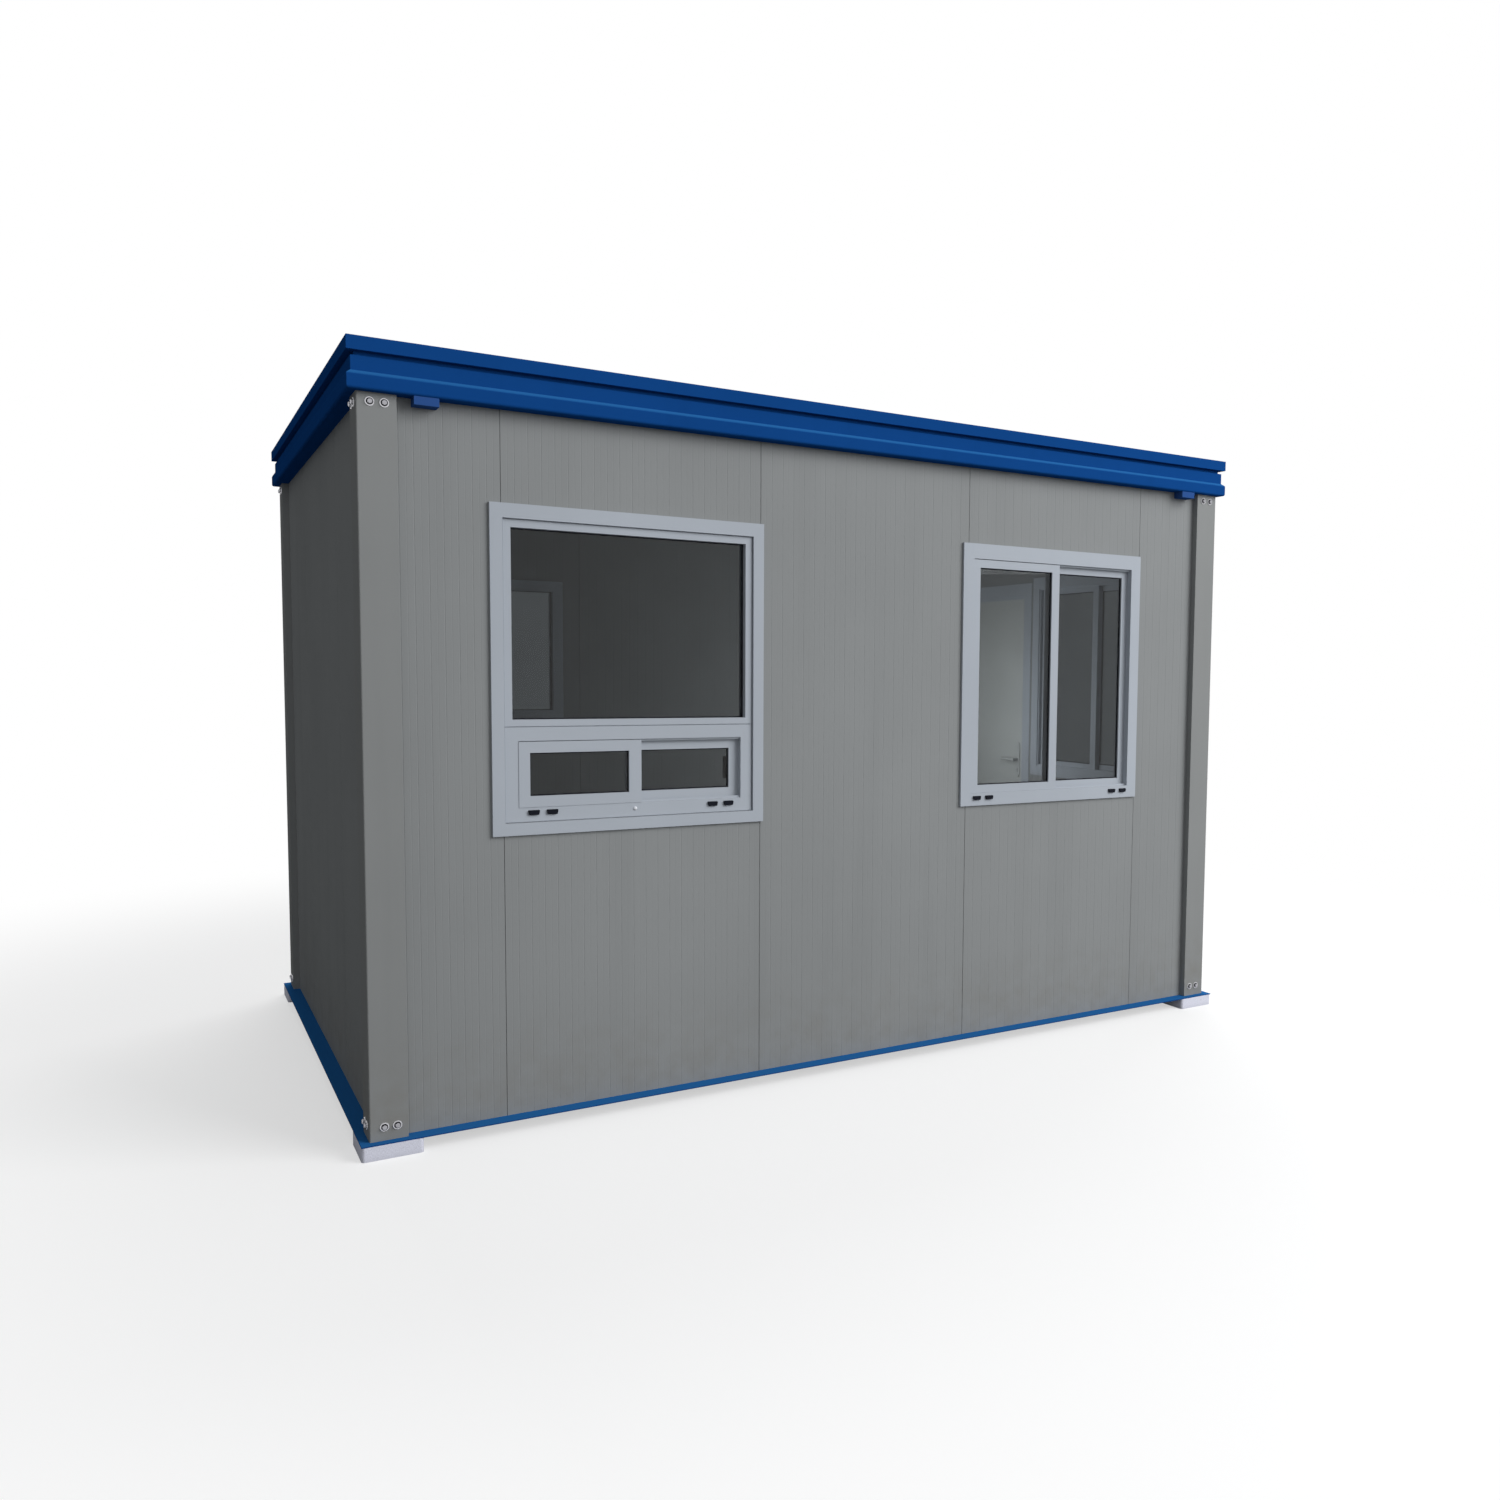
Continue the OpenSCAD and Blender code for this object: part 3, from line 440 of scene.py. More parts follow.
# Floor or ceiling board: soft clouds and a fine fleck
def makeBoard(name, colour, fleckScale):
    look = boardLook
    material, tree, shader, coords = startMaterial(name, look["roughness"], specular=look["specular"])
    base = cloudColour(tree, addClouds(tree, coords, look["cloudScale"]), colour, look["cloudTones"])
    fleck = remap(tree, addNoise(tree, coords, fleckScale, detail=3), look["fleckSpan"], 0, look["fleckMost"])
    base = blendColours(tree, fleck, base, scaled(colour, look["fleckTone"]))
    tree.links.new(base, shader.inputs["Base Color"])
    grain = addNoise(tree, coords, fleckScale, detail=2)
    addBump(tree, shader, grain, look["grainStrength"], look["grainDepth"])
    return material


nylonLook = {
    "cloudScale": 30, "cloudTones": (0.8, 1.3), "roomTones": (0.96, 1.04),
    "roomSpan": (leafInside + 0.004, leafInside + 0.006),      # X between the room side and the outside
    "grainScale": 900, "grainStrength": 0.25, "grainDepth": 0.0003,
}


# Moulded nylon or rubber: fine leathery grain; a second colour is for what stands on the room side of the
# door
def makeNylon(name, colour, roughness, specular, roomColour=None):
    look = nylonLook
    material, tree, shader, coords = startMaterial(name, roughness, specular=specular)
    clouds = addClouds(tree, coords, look["cloudScale"])
    base = cloudColour(tree, clouds, colour, look["cloudTones"])
    if roomColour:
        inside = cloudColour(tree, clouds, roomColour, look["roomTones"])
        room = remap(tree, axisSocket(tree, coords, "X"), look["roomSpan"], 1, 0)
        base = blendColours(tree, room, base, inside)
    tree.links.new(base, shader.inputs["Base Color"])
    grain = addNoise(tree, coords, look["grainScale"], detail=2)
    addBump(tree, shader, grain, look["grainStrength"], look["grainDepth"])
    return material


boltLook = {
    "roughness": 0.4, "metallic": 1.0, "cloudScale": 90, "cloudTones": (0.80, 1.12), "polish": (0.34, 0.52),
}


# Zinc plate on bolts: soft clouds of tone and polish
def makeBoltZinc(name, colour):
    look = boltLook
    material, tree, shader, coords = startMaterial(name, look["roughness"], look["metallic"])
    clouds = addClouds(tree, coords, look["cloudScale"])
    tree.links.new(cloudColour(tree, clouds, colour, look["cloudTones"]), shader.inputs["Base Color"])
    tree.links.new(remap(tree, clouds, (0, 1), *look["polish"]), shader.inputs["Roughness"])
    return material


# topDustAndHighlight: lighter on the blue and white enamels as a painted highlight, darker and warmer on the grey
# ones as dust
enamels = {
    "frame": {"colour": (0.006, 0.056, 0.225), "dust": (0.02, 0.06, 0.16), "topDustAndHighlight": (0.020, 0.125, 0.350),
              "roughness": 0.30, "specular": 0.0, "peel": 0.10, "wash": 0.30, "dirtTop": 0.10},
    "lug": {"colour": (0.028, 0.080, 0.255), "dust": (0.03, 0.08, 0.18), "topDustAndHighlight": (0.035, 0.140, 0.360),
            "roughness": 0.36, "specular": 0.0, "peel": 0.10, "wash": 0.30, "dirtTop": 0.10},
    "post": {"colour": (0.252, 0.260, 0.260), "dust": (0.20, 0.19, 0.17), "topDustAndHighlight": (0.24, 0.24, 0.23),
             "roughness": 0.55, "specular": 0.0, "peel": 0.08, "wash": 0.30, "dirtTop": 0.45},
    "panel": {"colour": (0.258, 0.268, 0.271), "dust": (0.21, 0.205, 0.19), "topDustAndHighlight": (0.24, 0.24, 0.23),
              "roughness": 0.55, "specular": 0.0, "peel": 0.06, "wash": 0.30, "dirtTop": 0.45},
    "door": {"colour": (0.50, 0.515, 0.505), "dust": (0.36, 0.355, 0.335), "topDustAndHighlight": (0.48, 0.48, 0.46),
             "roughness": 0.45, "specular": 0.05, "peel": 0.06, "wash": 0.15, "dirtTop": 0.40},
    "window": {"colour": (0.395, 0.428, 0.475), "dust": (0.28, 0.27, 0.25), "topDustAndHighlight": (0.42, 0.44, 0.47),
               "roughness": 0.42, "specular": 0.12, "peel": 0.12, "wash": 0.12, "dirtTop": 0.30},
}

finishes = {
    "concrete": makeConcrete("castConcrete", (0.71, 0.72, 0.82)),
    "frame_blue": makeEnamel("blueEnamel", enamels["frame"]),
    "zinc_steel": makeZinc("galvanisedSheet", (0.50, 0.52, 0.54)),
    "floor_board": makeBoard("floorCovering", (0.17, 0.165, 0.155), fleckScale=320),
    "ceiling_white": makeBoard("ceilingBoard", (0.36, 0.365, 0.36), fleckScale=260),
    "post_grey": makeEnamel("postEnamel", enamels["post"]),
    "panel_grey": makeEnamel("coilCoatedPanel", enamels["panel"]),
    "door_grey": makeEnamel("doorPanel", enamels["door"]),
    "window_white": makeEnamel("whitePowderCoat", enamels["window"]),
    "window_glass": makeGlass("greyTintedGlass"),
    "fittings_black": makeNylon("blackNylon", (0.018, 0.018, 0.019), roughness=0.48, specular=0.4),
}
# the lugs' blue enamel, lighter than the frame's
lugFinish = makeEnamel("lighterBlueEnamel", enamels["lug"])
leverFinish = makeNylon("leverNylon", (0.018, 0.018, 0.019), roughness=0.48, specular=0.2,
                        roomColour=(0.46, 0.475, 0.47))
washerFinish = makeBoltZinc("washerZinc", (0.68, 0.68, 0.71))
# near-black zinc for the post bolts' seat rings: painted shade in the gap between washer and head
seatShadeFinish = makeBoltZinc("boltSeatPaintedShade", (0.03, 0.03, 0.034))
headFinish = makeBoltZinc("boltHeadZinc", (0.45, 0.45, 0.48))
rubberFinish = makeNylon("blackRubber", (0.008, 0.008, 0.012), roughness=0.6, specular=0.1)
capFinish = makeNylon("blackCapNylon", (0.007, 0.008, 0.013), roughness=0.5, specular=0.08)
buttonFinish = makeNylon("whiteButtonNylon", (0.72, 0.74, 0.78), roughness=0.4, specular=0.3)

nodeFinishes = {row["node"]: finishes[row["material_slot"]] for row in frame["record"]["subparts"]}
nodeFinishes.update(door_fittings=leverFinish, lifting_lugs=lugFinish)
for node, finish in nodeFinishes.items():
    for place in frame["nodes"][node].material_slots:
        place.material = finish
print("stage: finishes made")


# Faces of a tube of rings, each with the same number of points round it, with flat end faces where it isn't
# closed
def ringFaces(rings, around, first, closed):
    i, j = np.meshgrid(np.arange(rings if closed else rings - 1), np.arange(around), indexing="ij")
    up = (i + 1) % rings
    side = (j + 1) % around
    quads = np.stack([i * around + j, i * around + side, up * around + side, up * around + j], -1)
    faces = (quads.reshape(-1, 4) + first).tolist()
    if not closed:
        faces.append((first + np.arange(around)[::-1]).tolist())
        faces.append((first + (rings - 1) * around + np.arange(around)).tolist())
    return faces


# Volume inside a tube: the sum over its corner triangles of a . (b x c) / 6, with open ends closed by fans
# round their middles
def tubeVolume(tube, closed):
    around = np.roll(tube, -1, 1)
    up = np.roll(tube, -1, 0)
    upAround = np.roll(around, -1, 0)
    if not closed:
        tube, around, up, upAround = tube[:-1], around[:-1], up[:-1], upAround[:-1]
    total = (tube * np.cross(around, upAround)).sum() + (tube * np.cross(upAround, up)).sum()
    if not closed:
        low, high = tube[0], up[-1]
        total -= (low.mean(0) * np.cross(low, np.roll(low, -1, 0))).sum()
        total += (high.mean(0) * np.cross(high, np.roll(high, -1, 0))).sum()
    return total / 6


# One mesh from several tubes; each is an array of rings by points by three, turned so that its faces look
# outward
def addPiece(name, tubes, material, rideOn=body, closed=False, smooth=False):
    points, faces, first = [], [], 0
    for tube in tubes:
        if tubeVolume(tube, closed) < 0:
            tube = tube[:, ::-1]
        rings, around = tube.shape[:2]
        faces += ringFaces(rings, around, first, closed)
        points.append(tube.reshape(-1, 3))
        first += rings * around
    mesh = bpy.data.meshes.new(name)
    mesh.from_pydata(np.concatenate(points).tolist(), [], faces)
    mesh.update()
    if smooth:
        mesh.shade_smooth()
    mesh.materials.append(material)
    piece = bpy.data.objects.new(name, mesh)
    bpy.context.scene.collection.objects.link(piece)
    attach(piece, rideOn)
    return piece


# Middle of each wall's outline, the way to the right seen from outside, and the way inward
wallAxes = {
    "front": np.array([[0, -halfWidth, 0], [1, 0, 0], [0, 1, 0]]),
    "right": np.array([[halfLength, 0, 0], [0, 1, 0], [-1, 0, 0]]),
    "back": np.array([[0, halfWidth, 0], [-1, 0, 0], [0, -1, 0]]),
    "left": np.array([[-halfLength, 0, 0], [0, -1, 0], [1, 0, 0]]),
}


def outwardFrom(wall):
    return -wallAxes[wall][2]


# Points at x along a wall, y inward from its outline and z up, for numbers or whole arrays
def onWall(wall, x, y, z):
    origin, along, inward = wallAxes[wall]
    up = np.array([0, 0, 1.0])
    x, y, z = np.broadcast_arrays(x, y, z)
    return origin + x[..., None] * along + y[..., None] * inward + z[..., None] * up


# Lowest and highest corner of some points in a wall's own x, y and z
def wallBox(wall, points):
    origin, along, inward = wallAxes[wall]
    points = np.asarray(points, float)
    own = np.stack([(points - origin) @ along, (points - origin) @ inward, points[..., 2]], -1)
    return own.min(0), own.max(0)


def nodeOnWall(wall, node):
    return wallBox(wall, [tuple(corner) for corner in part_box(node)])


# Corners of a node's separate solids: points within a hundredth of a millimetre count as one, and each takes
# the lowest number that it can reach along edges
def looseSolids(node):
    mesh = frame["nodes"][node].data
    points = np.empty(len(mesh.vertices) * 3)
    mesh.vertices.foreach_get("co", points)
    edges = np.empty(len(mesh.edges) * 2, dtype=np.int32)
    mesh.edges.foreach_get("vertices", edges)
    points, place = np.unique(points.reshape(-1, 3).round(5), axis=0, return_inverse=True)
    ends = place.ravel()[edges].reshape(-1, 2)
    label = np.arange(len(points))
    while True:
        lowest = label.copy()
        np.minimum.at(lowest, ends[:, 0], label[ends[:, 1]])
        np.minimum.at(lowest, ends[:, 1], label[ends[:, 0]])
        if (lowest == label).all():
            break
        label = lowest
    return [points[label == k] for k in np.unique(label)]


# A rectangle's four corners moved inward by each inset, at each depth: the corners are the rings of a tube
def cornerRings(wall, left, right, low, high, insets, depths):
    insets, depths = np.asarray(insets, float), np.asarray(depths, float)
    x = np.stack([left + insets, right - insets, right - insets, left + insets])
    z = np.stack([low + insets, low + insets, high - insets, high - insets])
    return onWall(wall, x, depths, z)


# Rings of a turned shape round an axis; a radius may be one number or one for each side
def turned(centre, outward, radii, heights, sides=24):
    outward = outward / np.linalg.norm(outward)
    upright = abs(outward[2]) > 0.9
    across = np.array([1.0, 0, 0]) if upright else np.cross(outward, [0, 0, 1.0])
    third = np.cross(outward, across)
    angle = np.arange(sides) * 2 * math.pi / sides
    radii = np.stack([np.broadcast_to(r, angle.shape) for r in radii])
    return (centre + np.asarray(heights)[:, None, None] * outward
            + (radii * np.cos(angle))[..., None] * across + (radii * np.sin(angle))[..., None] * third)


# Domed head: from a rim at a share of its height, a quarter of an ellipse curves in to a small flat
def domedHead(centre, outward, d):
    turn = np.linspace(0, math.pi / 2, d["steps"])
    radii = [d["radius"], *(d["radius"] * (d["flat"] + (1 - d["flat"]) * np.cos(turn)))]
    heights = [-d["root"], *(d["height"] * (d["rim"] + (1 - d["rim"]) * np.sin(turn)))]
    return turned(centre, outward, radii, heights, d["sides"])


skinSettings = {
    "proud": 0.0009,        # how far the lands stand off the panel
    "pitch": 1 / 21,        # 21 grooves to a metre of panel
    "grooveWidth": 0.0040,
    "grooveFloor": 0.4,     # flat bottom, as a share of the width
    "grooveDepth": 0.0005,
    "halfwayDepth": 0.00022,
    "halfwayShare": 0.7,    # width of the fainter grooves, as a share of the others
    "endMargin": 0.006,     # no groove's middle lies nearer to a skin's edge
    "under": 0.004,         # how far a skin runs under a trim
    "jointGap": 0.0015,
    "module": 1.0,          # width of a whole panel
    "leastHeight": 0.01,    # a lower strip is left out inside
}


# Sheet on a panel face: a flat land with a shallow groove at every pitch from the joint and a fainter one
# halfway between; each groove is a trapezium. Every ring holds front low, front high, back high, back low.
def ribbedSkin(wall, xFrom, xTo, zFrom, zTo, faceY, outward, start):
    s = skinSettings
    halfPitch = s["pitch"] / 2
    firstGroove = math.ceil((xFrom - start + s["endMargin"]) / halfPitch)
    lastGroove = math.floor((xTo - start - s["endMargin"]) / halfPitch)
    steps = np.arange(firstGroove, lastGroove + 1)
    centres = start + steps * halfPitch
    depths = np.where(steps % 2 == 0, s["grooveDepth"], s["halfwayDepth"])
    widths = s["grooveWidth"] * np.where(steps % 2 == 0, 1, s["halfwayShare"])
    offsets = np.array([-1, -s["grooveFloor"], s["grooveFloor"], 1]) / 2
    x = (centres[:, None] + offsets * widths[:, None]).ravel()
    depth = (depths[:, None] * np.array([0, 1, 1, 0])).ravel()
    x = np.concatenate([[xFrom], x, [xTo]])
    depth = np.concatenate([[0], depth, [0]])
    front = faceY - outward * (s["proud"] - depth)
    return np.stack([
        onWall(wall, x, front, zFrom), onWall(wall, x, front, zTo),
        onWall(wall, x, faceY, zTo), onWall(wall, x, faceY, zFrom)], 1)


# Places of the skins: each row is x from, x to, z from, z to and the joint that its grooves count from
def skinRows():
    gap, under, half = skinSettings["jointGap"], skinSettings["under"], skinSettings["module"] / 2
    firstLow, firstHigh = nodeOnWall("front", "front_panel_left")
    low, high = firstLow[2], firstHigh[2]
    j0 = firstHigh[0]                           # j0 to j3 are the upright joints of the long walls
    j1, j2 = (corner[0] for corner in nodeOnWall("front", "front_panel_middle"))
    j3, end = (corner[0] for corner in nodeOnWall("front", "front_panel_right"))
    start = firstLow[0]
    counter = nodeOnWall("front", "counter_window_frame")
    slider = nodeOnWall("front", "sliding_window_frame")
    rear = nodeOnWall("back", "back_window_frame")
    corner = nodeOnWall("right", "right_panel_front")
    lock = nodeOnWall("right", "right_panel_at_lock")
    hinge = nodeOnWall("right", "right_panel_at_hinges")
    endWindow = nodeOnWall("right", "end_window_frame")
    door = nodeOnWall("right", "door_frame")
    first = nodeOnWall("left", "left_wall_panels")[0][0]
    return {
        "front": [
            (start, j0 - gap, low, high, j0),
            (j1 + gap, j2 - gap, low, high, j1),
            (j3 + gap, end, low, high, j3),
            (j0 + gap, j1 - gap, low, counter[0][2] + under, j0),
            (j0 + gap, j1 - gap, counter[1][2] - under, high, j0),
            (j2 + gap, j3 - gap, low, slider[0][2] + under, j2),
            (j2 + gap, j3 - gap, slider[1][2] - under, high, j2)],
        "back": [
            (start, j0 - gap, low, high, j0),
            (j0 + gap, j1 - gap, low, high, j0),
            (j1 + gap, j2 - gap, low, high, j1),
            (j3 + gap, end, low, high, j3),
            (j2 + gap, j3 - gap, low, rear[0][2] + under, j2),
            (j2 + gap, j3 - gap, rear[1][2] - under, high, j2),
            (j2 + gap, rear[0][0] + under, rear[0][2] + under, rear[1][2] - under, j2),
            (rear[1][0] - under, j3 - gap, rear[0][2] + under, rear[1][2] - under, j2)],
        "left": [
            (first, -half - gap, low, high, -half),
            (-half + gap, half - gap, low, high, -half),
            (half + gap, -first, low, high, half)],
        "right": [
            (corner[0][0], corner[1][0] - gap, low, high, corner[1][0]),
            (corner[1][0] + gap, lock[0][0] - gap, low, endWindow[0][2] + under, corner[1][0]),
            (corner[1][0] + gap, lock[0][0] - gap, endWindow[1][2] - under, high, corner[1][0]),
            (lock[0][0] + gap, door[0][0] + under, low, high, lock[0][0]),
            (door[0][0] + under, door[1][0] - under, door[1][2] - under, high, lock[0][0]),
            (door[1][0] - under, hinge[1][0], low, high, lock[0][0])],
    }


def makeSkins():
    panelFace, panelBack = (corner[1] for corner in nodeOnWall("front", "front_panel_left"))
    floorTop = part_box("floor_deck")[1].z
    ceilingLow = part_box("ceiling")[0].z
    for wall, rows in skinRows().items():
        outside = [ribbedSkin(wall, *row[:4], panelFace, 1, row[4]) for row in rows]
        inside = []
        for xFrom, xTo, zFrom, zTo, start in rows:
            zFrom, zTo = max(zFrom, floorTop), min(zTo, ceilingLow)
            if zTo - zFrom > skinSettings["leastHeight"]:
                inside.append(ribbedSkin(wall, xFrom, xTo, zFrom, zTo, panelBack, -1, start))
        addPiece(wall + "WallOuterSkin", outside, finishes["panel_grey"])
        addPiece(wall + "WallInnerSkin", inside, finishes["panel_grey"])


makeSkins()
print("stage: panel skins made")

boltSettings = {
    "across": 0.0155,          # over the flats of the head
    "headHeight": 0.0075,
    "washer": 0.0152,          # radius
    "washerThickness": 0.0026,
    "topFromEdge": (0.042, 0.087),
    "lowFromEdge": (0.048, 0.0895),
    "aboveLedge": 0.047,
    "belowSoffit": 0.030,
}

hexShape = {
    "root": 0.0005,                 # how far washer and seat reach into what carries them
    "washerBreak": 0.0007,          # width of the washer's broken edge
    "washerDrop": 0.0006,
    "washerHole": 0.45,             # radii as shares of the width over the flats
    "seatFoot": 0.74,
    "seatTop": 0.8,                 # as a share of the foot
    "seatHeights": (0.0006, 0.0010),
    "headFoot": 0.0004,
    "shoulder": 0.0022,             # from here up the corners are cut round
    # the crown: radii as shares of half the width over the flats, with their distance below the top
    "crown": ((1.05, 0.0014), (0.93, 0.0004), (0.72, 0.0), (0.3, -0.0001)),
}


# Round washer with a broken edge
def washer(centre, outward, s):
    r, t = s["washer"], s["washerThickness"]
    radii = [r, r, r - hexShape["washerBreak"], s["across"] * hexShape["washerHole"]]
    return turned(centre, outward, radii, [-hexShape["root"], t - hexShape["washerDrop"], t, t])


# Ring between washer and head: a low cylinder with a sloped top; near black on the post bolts as painted shade
def seatRing(centre, outward, s):
    r, t = s["across"] * hexShape["seatFoot"], s["washerThickness"]
    shoulder, top = hexShape["seatHeights"]
    heights = [t - hexShape["root"], t + shoulder, t + top]
    return turned(centre, outward, [r, r, r * hexShape["seatTop"]], heights)


# Hexagon head: the radius is half the width over the flats by the cosine of the angle from the nearest flat,
# cut round and domed at the top
def hexHead(centre, outward, s, sides=24):
    angle = np.arange(sides) * 2 * math.pi / sides
    flat = s["across"] / 2
    hexagon = flat / np.cos((angle + math.pi / 6) % (math.pi / 3) - math.pi / 6)
    foot = s["washerThickness"]
    top = foot + s["headHeight"]
    radii = [hexagon, hexagon] + [np.minimum(hexagon, flat * share) for share, drop in hexShape["crown"]]
    heights = [foot + hexShape["headFoot"], top - hexShape["shoulder"]]
    heights += [top - drop for share, drop in hexShape["crown"]]
    return turned(centre, outward, radii, heights, sides)


# Two bolts at the top and two at the bottom of each face of the posts
def makePostBolts():
    s = boltSettings
    postLow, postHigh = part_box("post_front_left")
    outline = float(postLow.x) + halfLength
    lowRow = (s["lowFromEdge"], postLow.z + s["aboveLedge"])
    topRow = (s["topFromEdge"], postHigh.z - s["belowSoffit"])
    bolts = []
    for wall in ("front", "back", "left", "right"):
        half = halfLength if wall in ("front", "back") else halfWidth
        for end in (-1, 1):
            for offsets, z in (lowRow, topRow):
                for offset in offsets:
                    centre = onWall(wall, end * (half - outline - offset), outline, z)
                    bolts.append((centre, outwardFrom(wall), s))
    addPiece("postBoltWashers", [washer(*bolt) for bolt in bolts], washerFinish)
    # the near-black seat rings are painted shade between washer and head
    addPiece("postBoltSeatShades", [seatRing(*bolt) for bolt in bolts], seatShadeFinish)
    addPiece("postBoltHeads", [hexHead(*bolt) for bolt in bolts], headFinish)


makePostBolts()
print("stage: post bolts made")

screwSettings = {
    "across": 0.008,
    "headHeight": 0.005,
    "washer": 0.0095,
    "washerThickness": 0.0022,
    "sides": 12,
    "alongJoist": 7,
    "fromEnd": 0.10,
    "sheetThickness": 0.0015,
}


# Roofing screws through the flats of the roof sheet into the joists
def makeRoofScrews():
    s = screwSettings
    sheetLow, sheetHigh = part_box("roof_sheet")
    flat = float(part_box("roof_joist_set")[1].z) + s["sheetThickness"]
    up = np.array([0, 0, 1.0])
    washers, heads = [], []
    for solid in looseSolids("roof_joist_set"):
        for y in np.linspace(sheetLow.y + s["fromEnd"], sheetHigh.y - s["fromEnd"], s["alongJoist"]):
            centre = np.array([solid[:, 0].mean(), y, flat])
            washers.append(washer(centre, up, s))
            heads += [seatRing(centre, up, s), hexHead(centre, up, s, s["sides"])]
    addPiece("roofScrewWashers", washers, rubberFinish)
    addPiece("roofScrewHeads", heads, washerFinish)


makeRoofScrews()
print("stage: roof screws made")

gasketSettings = {
    "bite": 0.0080,         # how deep a pane sits in its bar
    "tuck": 0.0004,         # how far the rubber reaches under the bar
    "lift": 0.0001,         # from the pane to the rubber's foot
    "shown": 0.0042,        # width of rubber inside the bar
    "bevel": 0.0012,
    "proud": 0.0024,
    "lip": 0.6,             # height at the bevel, as a share of the height at the bar
}


# Rubber on both faces of every pane, along the edge of its bar: a wedge that is thickest at the bar
def makeGaskets():
    s = gasketSettings
    insets = [-s["tuck"], s["shown"], s["shown"] - s["bevel"], -s["tuck"]]
    heights = np.array([s["lift"], s["lift"], s["proud"] * s["lip"], s["proud"]])
    tubes = []
    for node in ("counter_window_glass", "window_glass"):
        for pane in looseSolids(node):
            size = pane.max(0) - pane.min(0)
            middle = (pane.max(0) + pane.min(0)) / 2
            wall = "right" if size[0] < size[1] else ("front" if middle[1] < 0 else "back")
            low, high = wallBox(wall, pane)
            edges = (low[0] + s["bite"], high[0] - s["bite"], low[2] + s["bite"], high[2] - s["bite"])
            for face, outward in ((low[1], -1), (high[1], 1)):
                tubes.append(cornerRings(wall, *edges, insets, face + outward * heights))
    addPiece("windowGaskets", tubes, rubberFinish, closed=True)


makeGaskets()
print("stage: window gaskets made")


# Points round a rectangle with round corners; its lower edge is narrower by the taper
def roundedOutline(width, height, radius, taper, perCorner=5):
    turn = np.linspace(0, math.pi / 2, perCorner)
    corners = np.array([[1, 1], [-1, 1], [-1, -1], [1, -1]])
    angle = turn + np.arange(4)[:, None] * math.pi / 2
    x = (corners[:, :1] * (width / 2 - radius) + radius * np.cos(angle)).ravel()
    y = (corners[:, 1:] * (height / 2 - radius) + radius * np.sin(angle)).ravel()
    return x * (1 - taper * (0.5 - y / height)), y


padShape = {
    "root": 0.0005,         # how far a pad reaches into the face that carries it
    "bend": 0.3,            # share of the edge radius where its bevel bends
    "leastRadius": 0.0003,
}


# Moulded pad on a wall: rounded outlines stacked outward, drawn in at the last two by the edge radius;
# lean moves the outer face down, as on a hood
def pad(wall, x, z, faceY, shape, outward=1):
    thickness, edge = shape["thickness"], shape["edge"]
    bend = padShape["bend"] * edge
    levels = (-padShape["root"], thickness - edge, thickness - bend, thickness)
    rings = []
    for level, shrink in zip(levels, (0, 0, bend, edge)):
        u, v = roundedOutline(shape["width"] - 2 * shrink, shape["height"] - 2 * shrink,
                              max(shape["radius"] - shrink, padShape["leastRadius"]), shape.get("taper", 0.0))
        drop = shape.get("lean", 0.0) * max(level, 0) / thickness
        rings.append(onWall(wall, x + u, faceY - outward * level, z + v - drop))
    return np.stack(rings)


drainSettings = {
    "cap": {"width": 0.042, "height": 0.0165, "thickness": 0.0075, "radius": 0.0030, "edge": 0.0018,
            "taper": 0.16, "lean": 0.0015},
    "slideFromSide": (0.086, 0.1535),
    "slideAboveSill": 0.0352,
    "counterFromSide": (0.1465, 0.213),
    "counterAboveSill": 0.0797,
}

counterFittings = {
    "stepProud": 0.002,            # of the stepped inner frame, from the panels
    "latch": {"width": 0.034, "height": 0.086, "thickness": 0.009, "radius": 0.004, "edge": 0.002},
    "latchLever": {"width": 0.014, "height": 0.040, "thickness": 0.015, "radius": 0.004, "edge": 0.003},
    "latchFromGlass": 0.005,       # to the right of the glass edge
    "leverShift": 0.002,           # to the left of the latch's middle
    "button": {"radius": 0.0068, "height": 0.0045, "root": 0.0005, "flat": 0.25, "rim": 0.35,
               "steps": 6, "sides": 24},
    "buttonAboveSill": 0.0760,
}


def stepFace():
    return nodeOnWall("front", "front_panel_left")[0][1] - counterFittings["stepProud"]


def makeDrainCaps():
    s = drainSettings
    caps = []
    for wall, node in (("front", "sliding_window_frame"), ("right", "end_window_frame")):
        low, high = nodeOnWall(wall, node)
        for x in [low[0] + d for d in s["slideFromSide"]] + [high[0] - d for d in s["slideFromSide"]]:
            caps.append(pad(wall, x, low[2] + s["slideAboveSill"], low[1], s["cap"]))
    low, high = nodeOnWall("front", "counter_window_frame")
    for x in [low[0] + d for d in s["counterFromSide"]] + [high[0] - d for d in s["counterFromSide"]]:
        caps.append(pad("front", x, low[2] + s["counterAboveSill"], stepFace(), s["cap"]))
    addPiece("drainCaps", caps, capFinish)


# Latch inside on the right hatch sash
def makeHatchLatch():
    s = counterFittings
    sashes = [wallBox("front", solid) for solid in looseSolids("hatch_sashes")]
    panes = [wallBox("front", solid) for solid in looseSolids("counter_window_glass")]
    low, high = max(sashes, key=lambda box: box[0][0])
    glassEdge = max(box[1][0] for box in panes if box[1][2] < high[2]) - gasketSettings["bite"]
    x = glassEdge + s["latchFromGlass"]
    z = (low[2] + high[2]) / 2
    latch = [pad("front", x, z, high[1], s["latch"], -1),
             pad("front", x - s["leverShift"], z, high[1], s["latchLever"], -1)]
    addPiece("hatchLatch", latch, capFinish)


# Small white stop button on the sill of the hatch, under the meeting bars
def makeStopButton():
    s = counterFittings
    low, high = nodeOnWall("front", "counter_window_frame")
    centre = onWall("front", (low[0] + high[0]) / 2, stepFace(), low[2] + s["buttonAboveSill"])
    button = domedHead(centre, outwardFrom("front"), s["button"])
    addPiece("hatchStopButton", [button], buttonFinish, smooth=True)


makeDrainCaps()
makeHatchLatch()
makeStopButton()
print("stage: window fittings made")

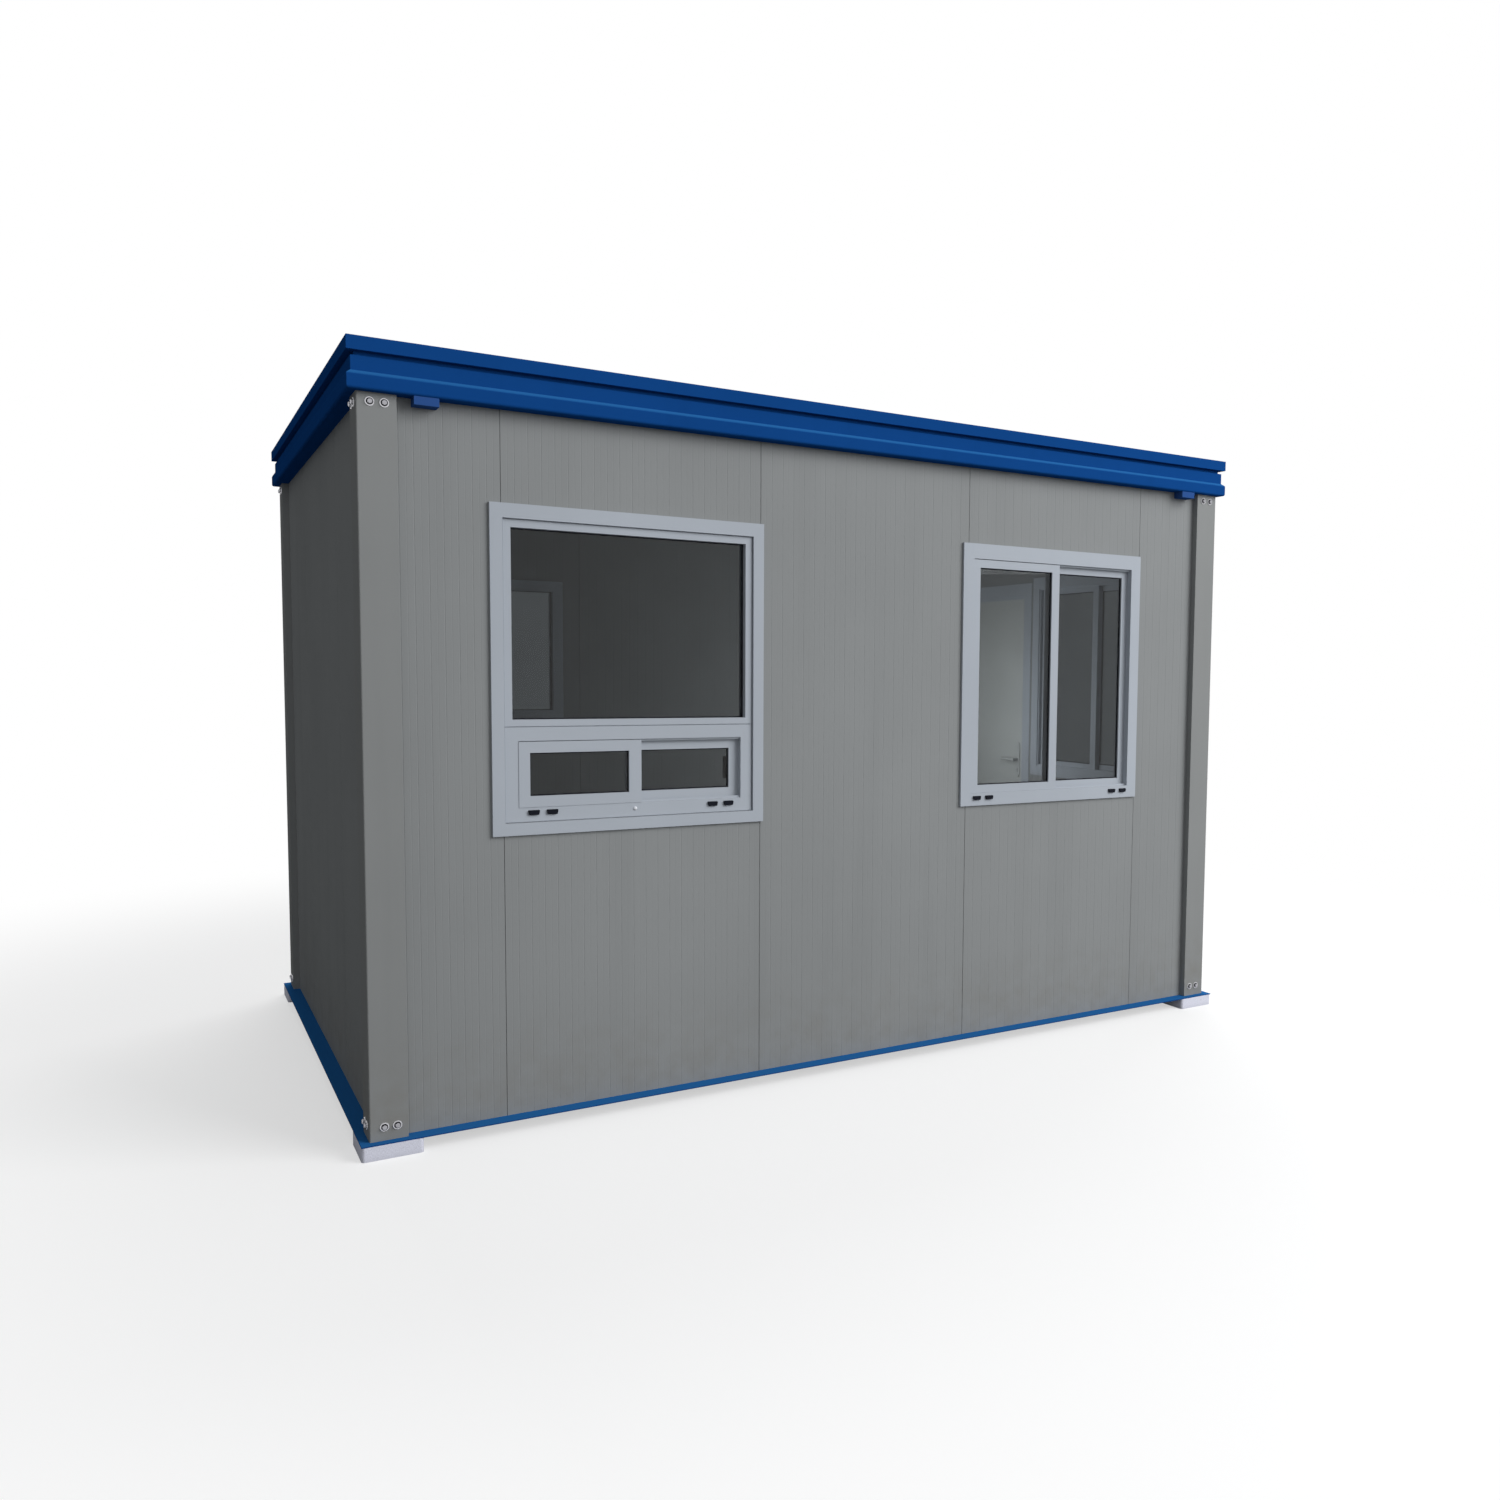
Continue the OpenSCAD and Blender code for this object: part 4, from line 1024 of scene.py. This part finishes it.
doorSettings = {
    "edging": {"width": 0.030, "proud": 0.0014, "break": 0.0008, "root": 0.0003},
    "seal": {"inset": 0.0015, "width": 0.0065, "thickness": 0.0030, "bevel": 0.0012, "behindLeaf": 0.0049},
    "screw": {"radius": 0.0040, "height": 0.0016, "root": 0.0003, "flat": 0.12, "rim": 0.3,
              "steps": 5, "sides": 12},
    "plug": {"radius": 0.0066, "height": 0.0007, "root": 0.0003},
    "keySlot": {"width": 0.0018, "height": 0.0088, "thickness": 0.0012, "radius": 0.0008, "edge": 0.0003},
    "leverTallerThan": 0.1,        # a solid of the door's fittings taller than this is a lever with its plate
    "plateMiddle": 0.018,          # of the lever's back plate, from its edge
    "plateThickness": 0.006,
    "plateScrewsApart": 0.144,
    "levelOfLock": -0.060,         # from the lever
    "lockSunk": 0.004,             # from the back plate's face
    "hingeScrewsApart": 0.020,
    "leafScrewFromEdge": 0.010,
    "frameScrewFromEdge": 0.011,
    "frameScrewLevels": (0.015, 0.035),
    "hingePlateSunk": 0.004,       # from the barrel's face to the plate's
}


# Flat aluminium profile round the leaf on both faces, with its long edges broken
def doorEdging(low, high, faceY, outward):
    e = doorSettings["edging"]
    width, shoulder = e["width"], e["proud"] - e["break"]
    insets = [0.0, 0.0, e["break"], width - e["break"], width, width]
    levels = np.array([-e["root"], shoulder, e["proud"], e["proud"], shoulder, -e["root"]])
    return cornerRings("right", low[0], high[0], low[2], high[2], insets, faceY - outward * levels)


def makeDoorLeafDetails():
    low, high = nodeOnWall("right", "door_leaf")
    edging = [doorEdging(low, high, low[1], 1), doorEdging(low, high, high[1], -1)]
    addPiece("doorEdging", edging, finishes["window_white"], doorBody, closed=True)
    inset = doorSettings["edging"]["width"] - skinSettings["under"]
    area = (low[0] + inset, high[0] - inset, low[2] + inset, high[2] - inset)
    skins = [ribbedSkin("right", *area, low[1], 1, low[0]), ribbedSkin("right", *area, high[1], -1, low[0])]
    addPiece("doorSkins", skins, finishes["door_grey"], doorBody)


def doorScrew(x, z, faceY, outward=1):
    return domedHead(onWall("right", x, faceY, z), outward * outwardFrom("right"), doorSettings["screw"])


# Lock plug, a disc with a broken edge
def lockPlug(x, z, faceY, outward):
    p = doorSettings["plug"]
    r, h = p["radius"], p["height"]
    centre = onWall("right", x, faceY, z)
    return turned(centre, outward * outwardFrom("right"), [r, r, r - h], [-p["root"], h / 2, h])


# Screws on the back plates and the leaf's hinge plates ride on the door, those on the frame's plates on the
# cabin
def makeDoorFixings():
    s = doorSettings
    moving, fixed, plugs, slots = [], [], [], []
    leafFace = nodeOnWall("right", "door_leaf")[0][1]
    for solid in looseSolids("door_fittings"):
        low, high = wallBox("right", solid)
        middle = (low[2] + high[2]) / 2
        if high[2] - low[2] > s["leverTallerThan"]:
            outward = 1 if low[1] < leafFace else -1
            plateFace = (high if outward > 0 else low)[1] - outward * s["plateThickness"]
            lockFace = plateFace - outward * s["lockSunk"]
            x = low[0] + s["plateMiddle"]
            for side in (-1, 1):
                moving.append(doorScrew(x, middle + side * s["plateScrewsApart"] / 2, plateFace, outward))
            plugs.append(lockPlug(x, middle + s["levelOfLock"], lockFace, outward))
            # a black pad on the lock plug is painted shade for the inside of the key slot
            slots.append(pad("right", x, middle + s["levelOfLock"], lockFace, s["keySlot"], outward))
        else:                                   # upper half of a hinge
            x, plateFace = low[0] + s["leafScrewFromEdge"], high[1] - s["hingePlateSunk"]
            for side in (-1, 1):
                moving.append(doorScrew(x, middle + side * s["hingeScrewsApart"] / 2, plateFace))
    for solid in looseSolids("door_hinge_pins"):
        low, high = wallBox("right", solid)
        for level in s["frameScrewLevels"]:
            x, plateFace = high[0] - s["frameScrewFromEdge"], high[1] - s["hingePlateSunk"]
            fixed.append(doorScrew(x, low[2] + level, plateFace))
    addPiece("doorScrews", moving, washerFinish, doorBody, smooth=True)
    addPiece("hingeScrews", fixed, headFinish, smooth=True)
    addPiece("lockPlugs", plugs, washerFinish, doorBody)
    addPiece("keySlotShades", slots, rubberFinish, doorBody)


# Strip of rubber on the stop, up one side, over the top and down the other, with its free edges bevelled
def makeDoorSeal():
    s = doorSettings["seal"]
    low, high = nodeOnWall("right", "door_leaf")
    inner, outer = s["inset"] + s["width"], s["inset"]
    back = high[1] + s["behindLeaf"]
    front = back - s["thickness"]
    insets = [outer, inner, inner - s["bevel"], outer + s["bevel"]]
    rings = cornerRings("right", low[0], high[0], low[2], high[2], insets, [back, back, front, front])
    addPiece("doorSeal", [np.roll(rings, -1, 0)], rubberFinish)


makeDoorLeafDetails()
makeDoorFixings()
makeDoorSeal()
print("stage: door details made")
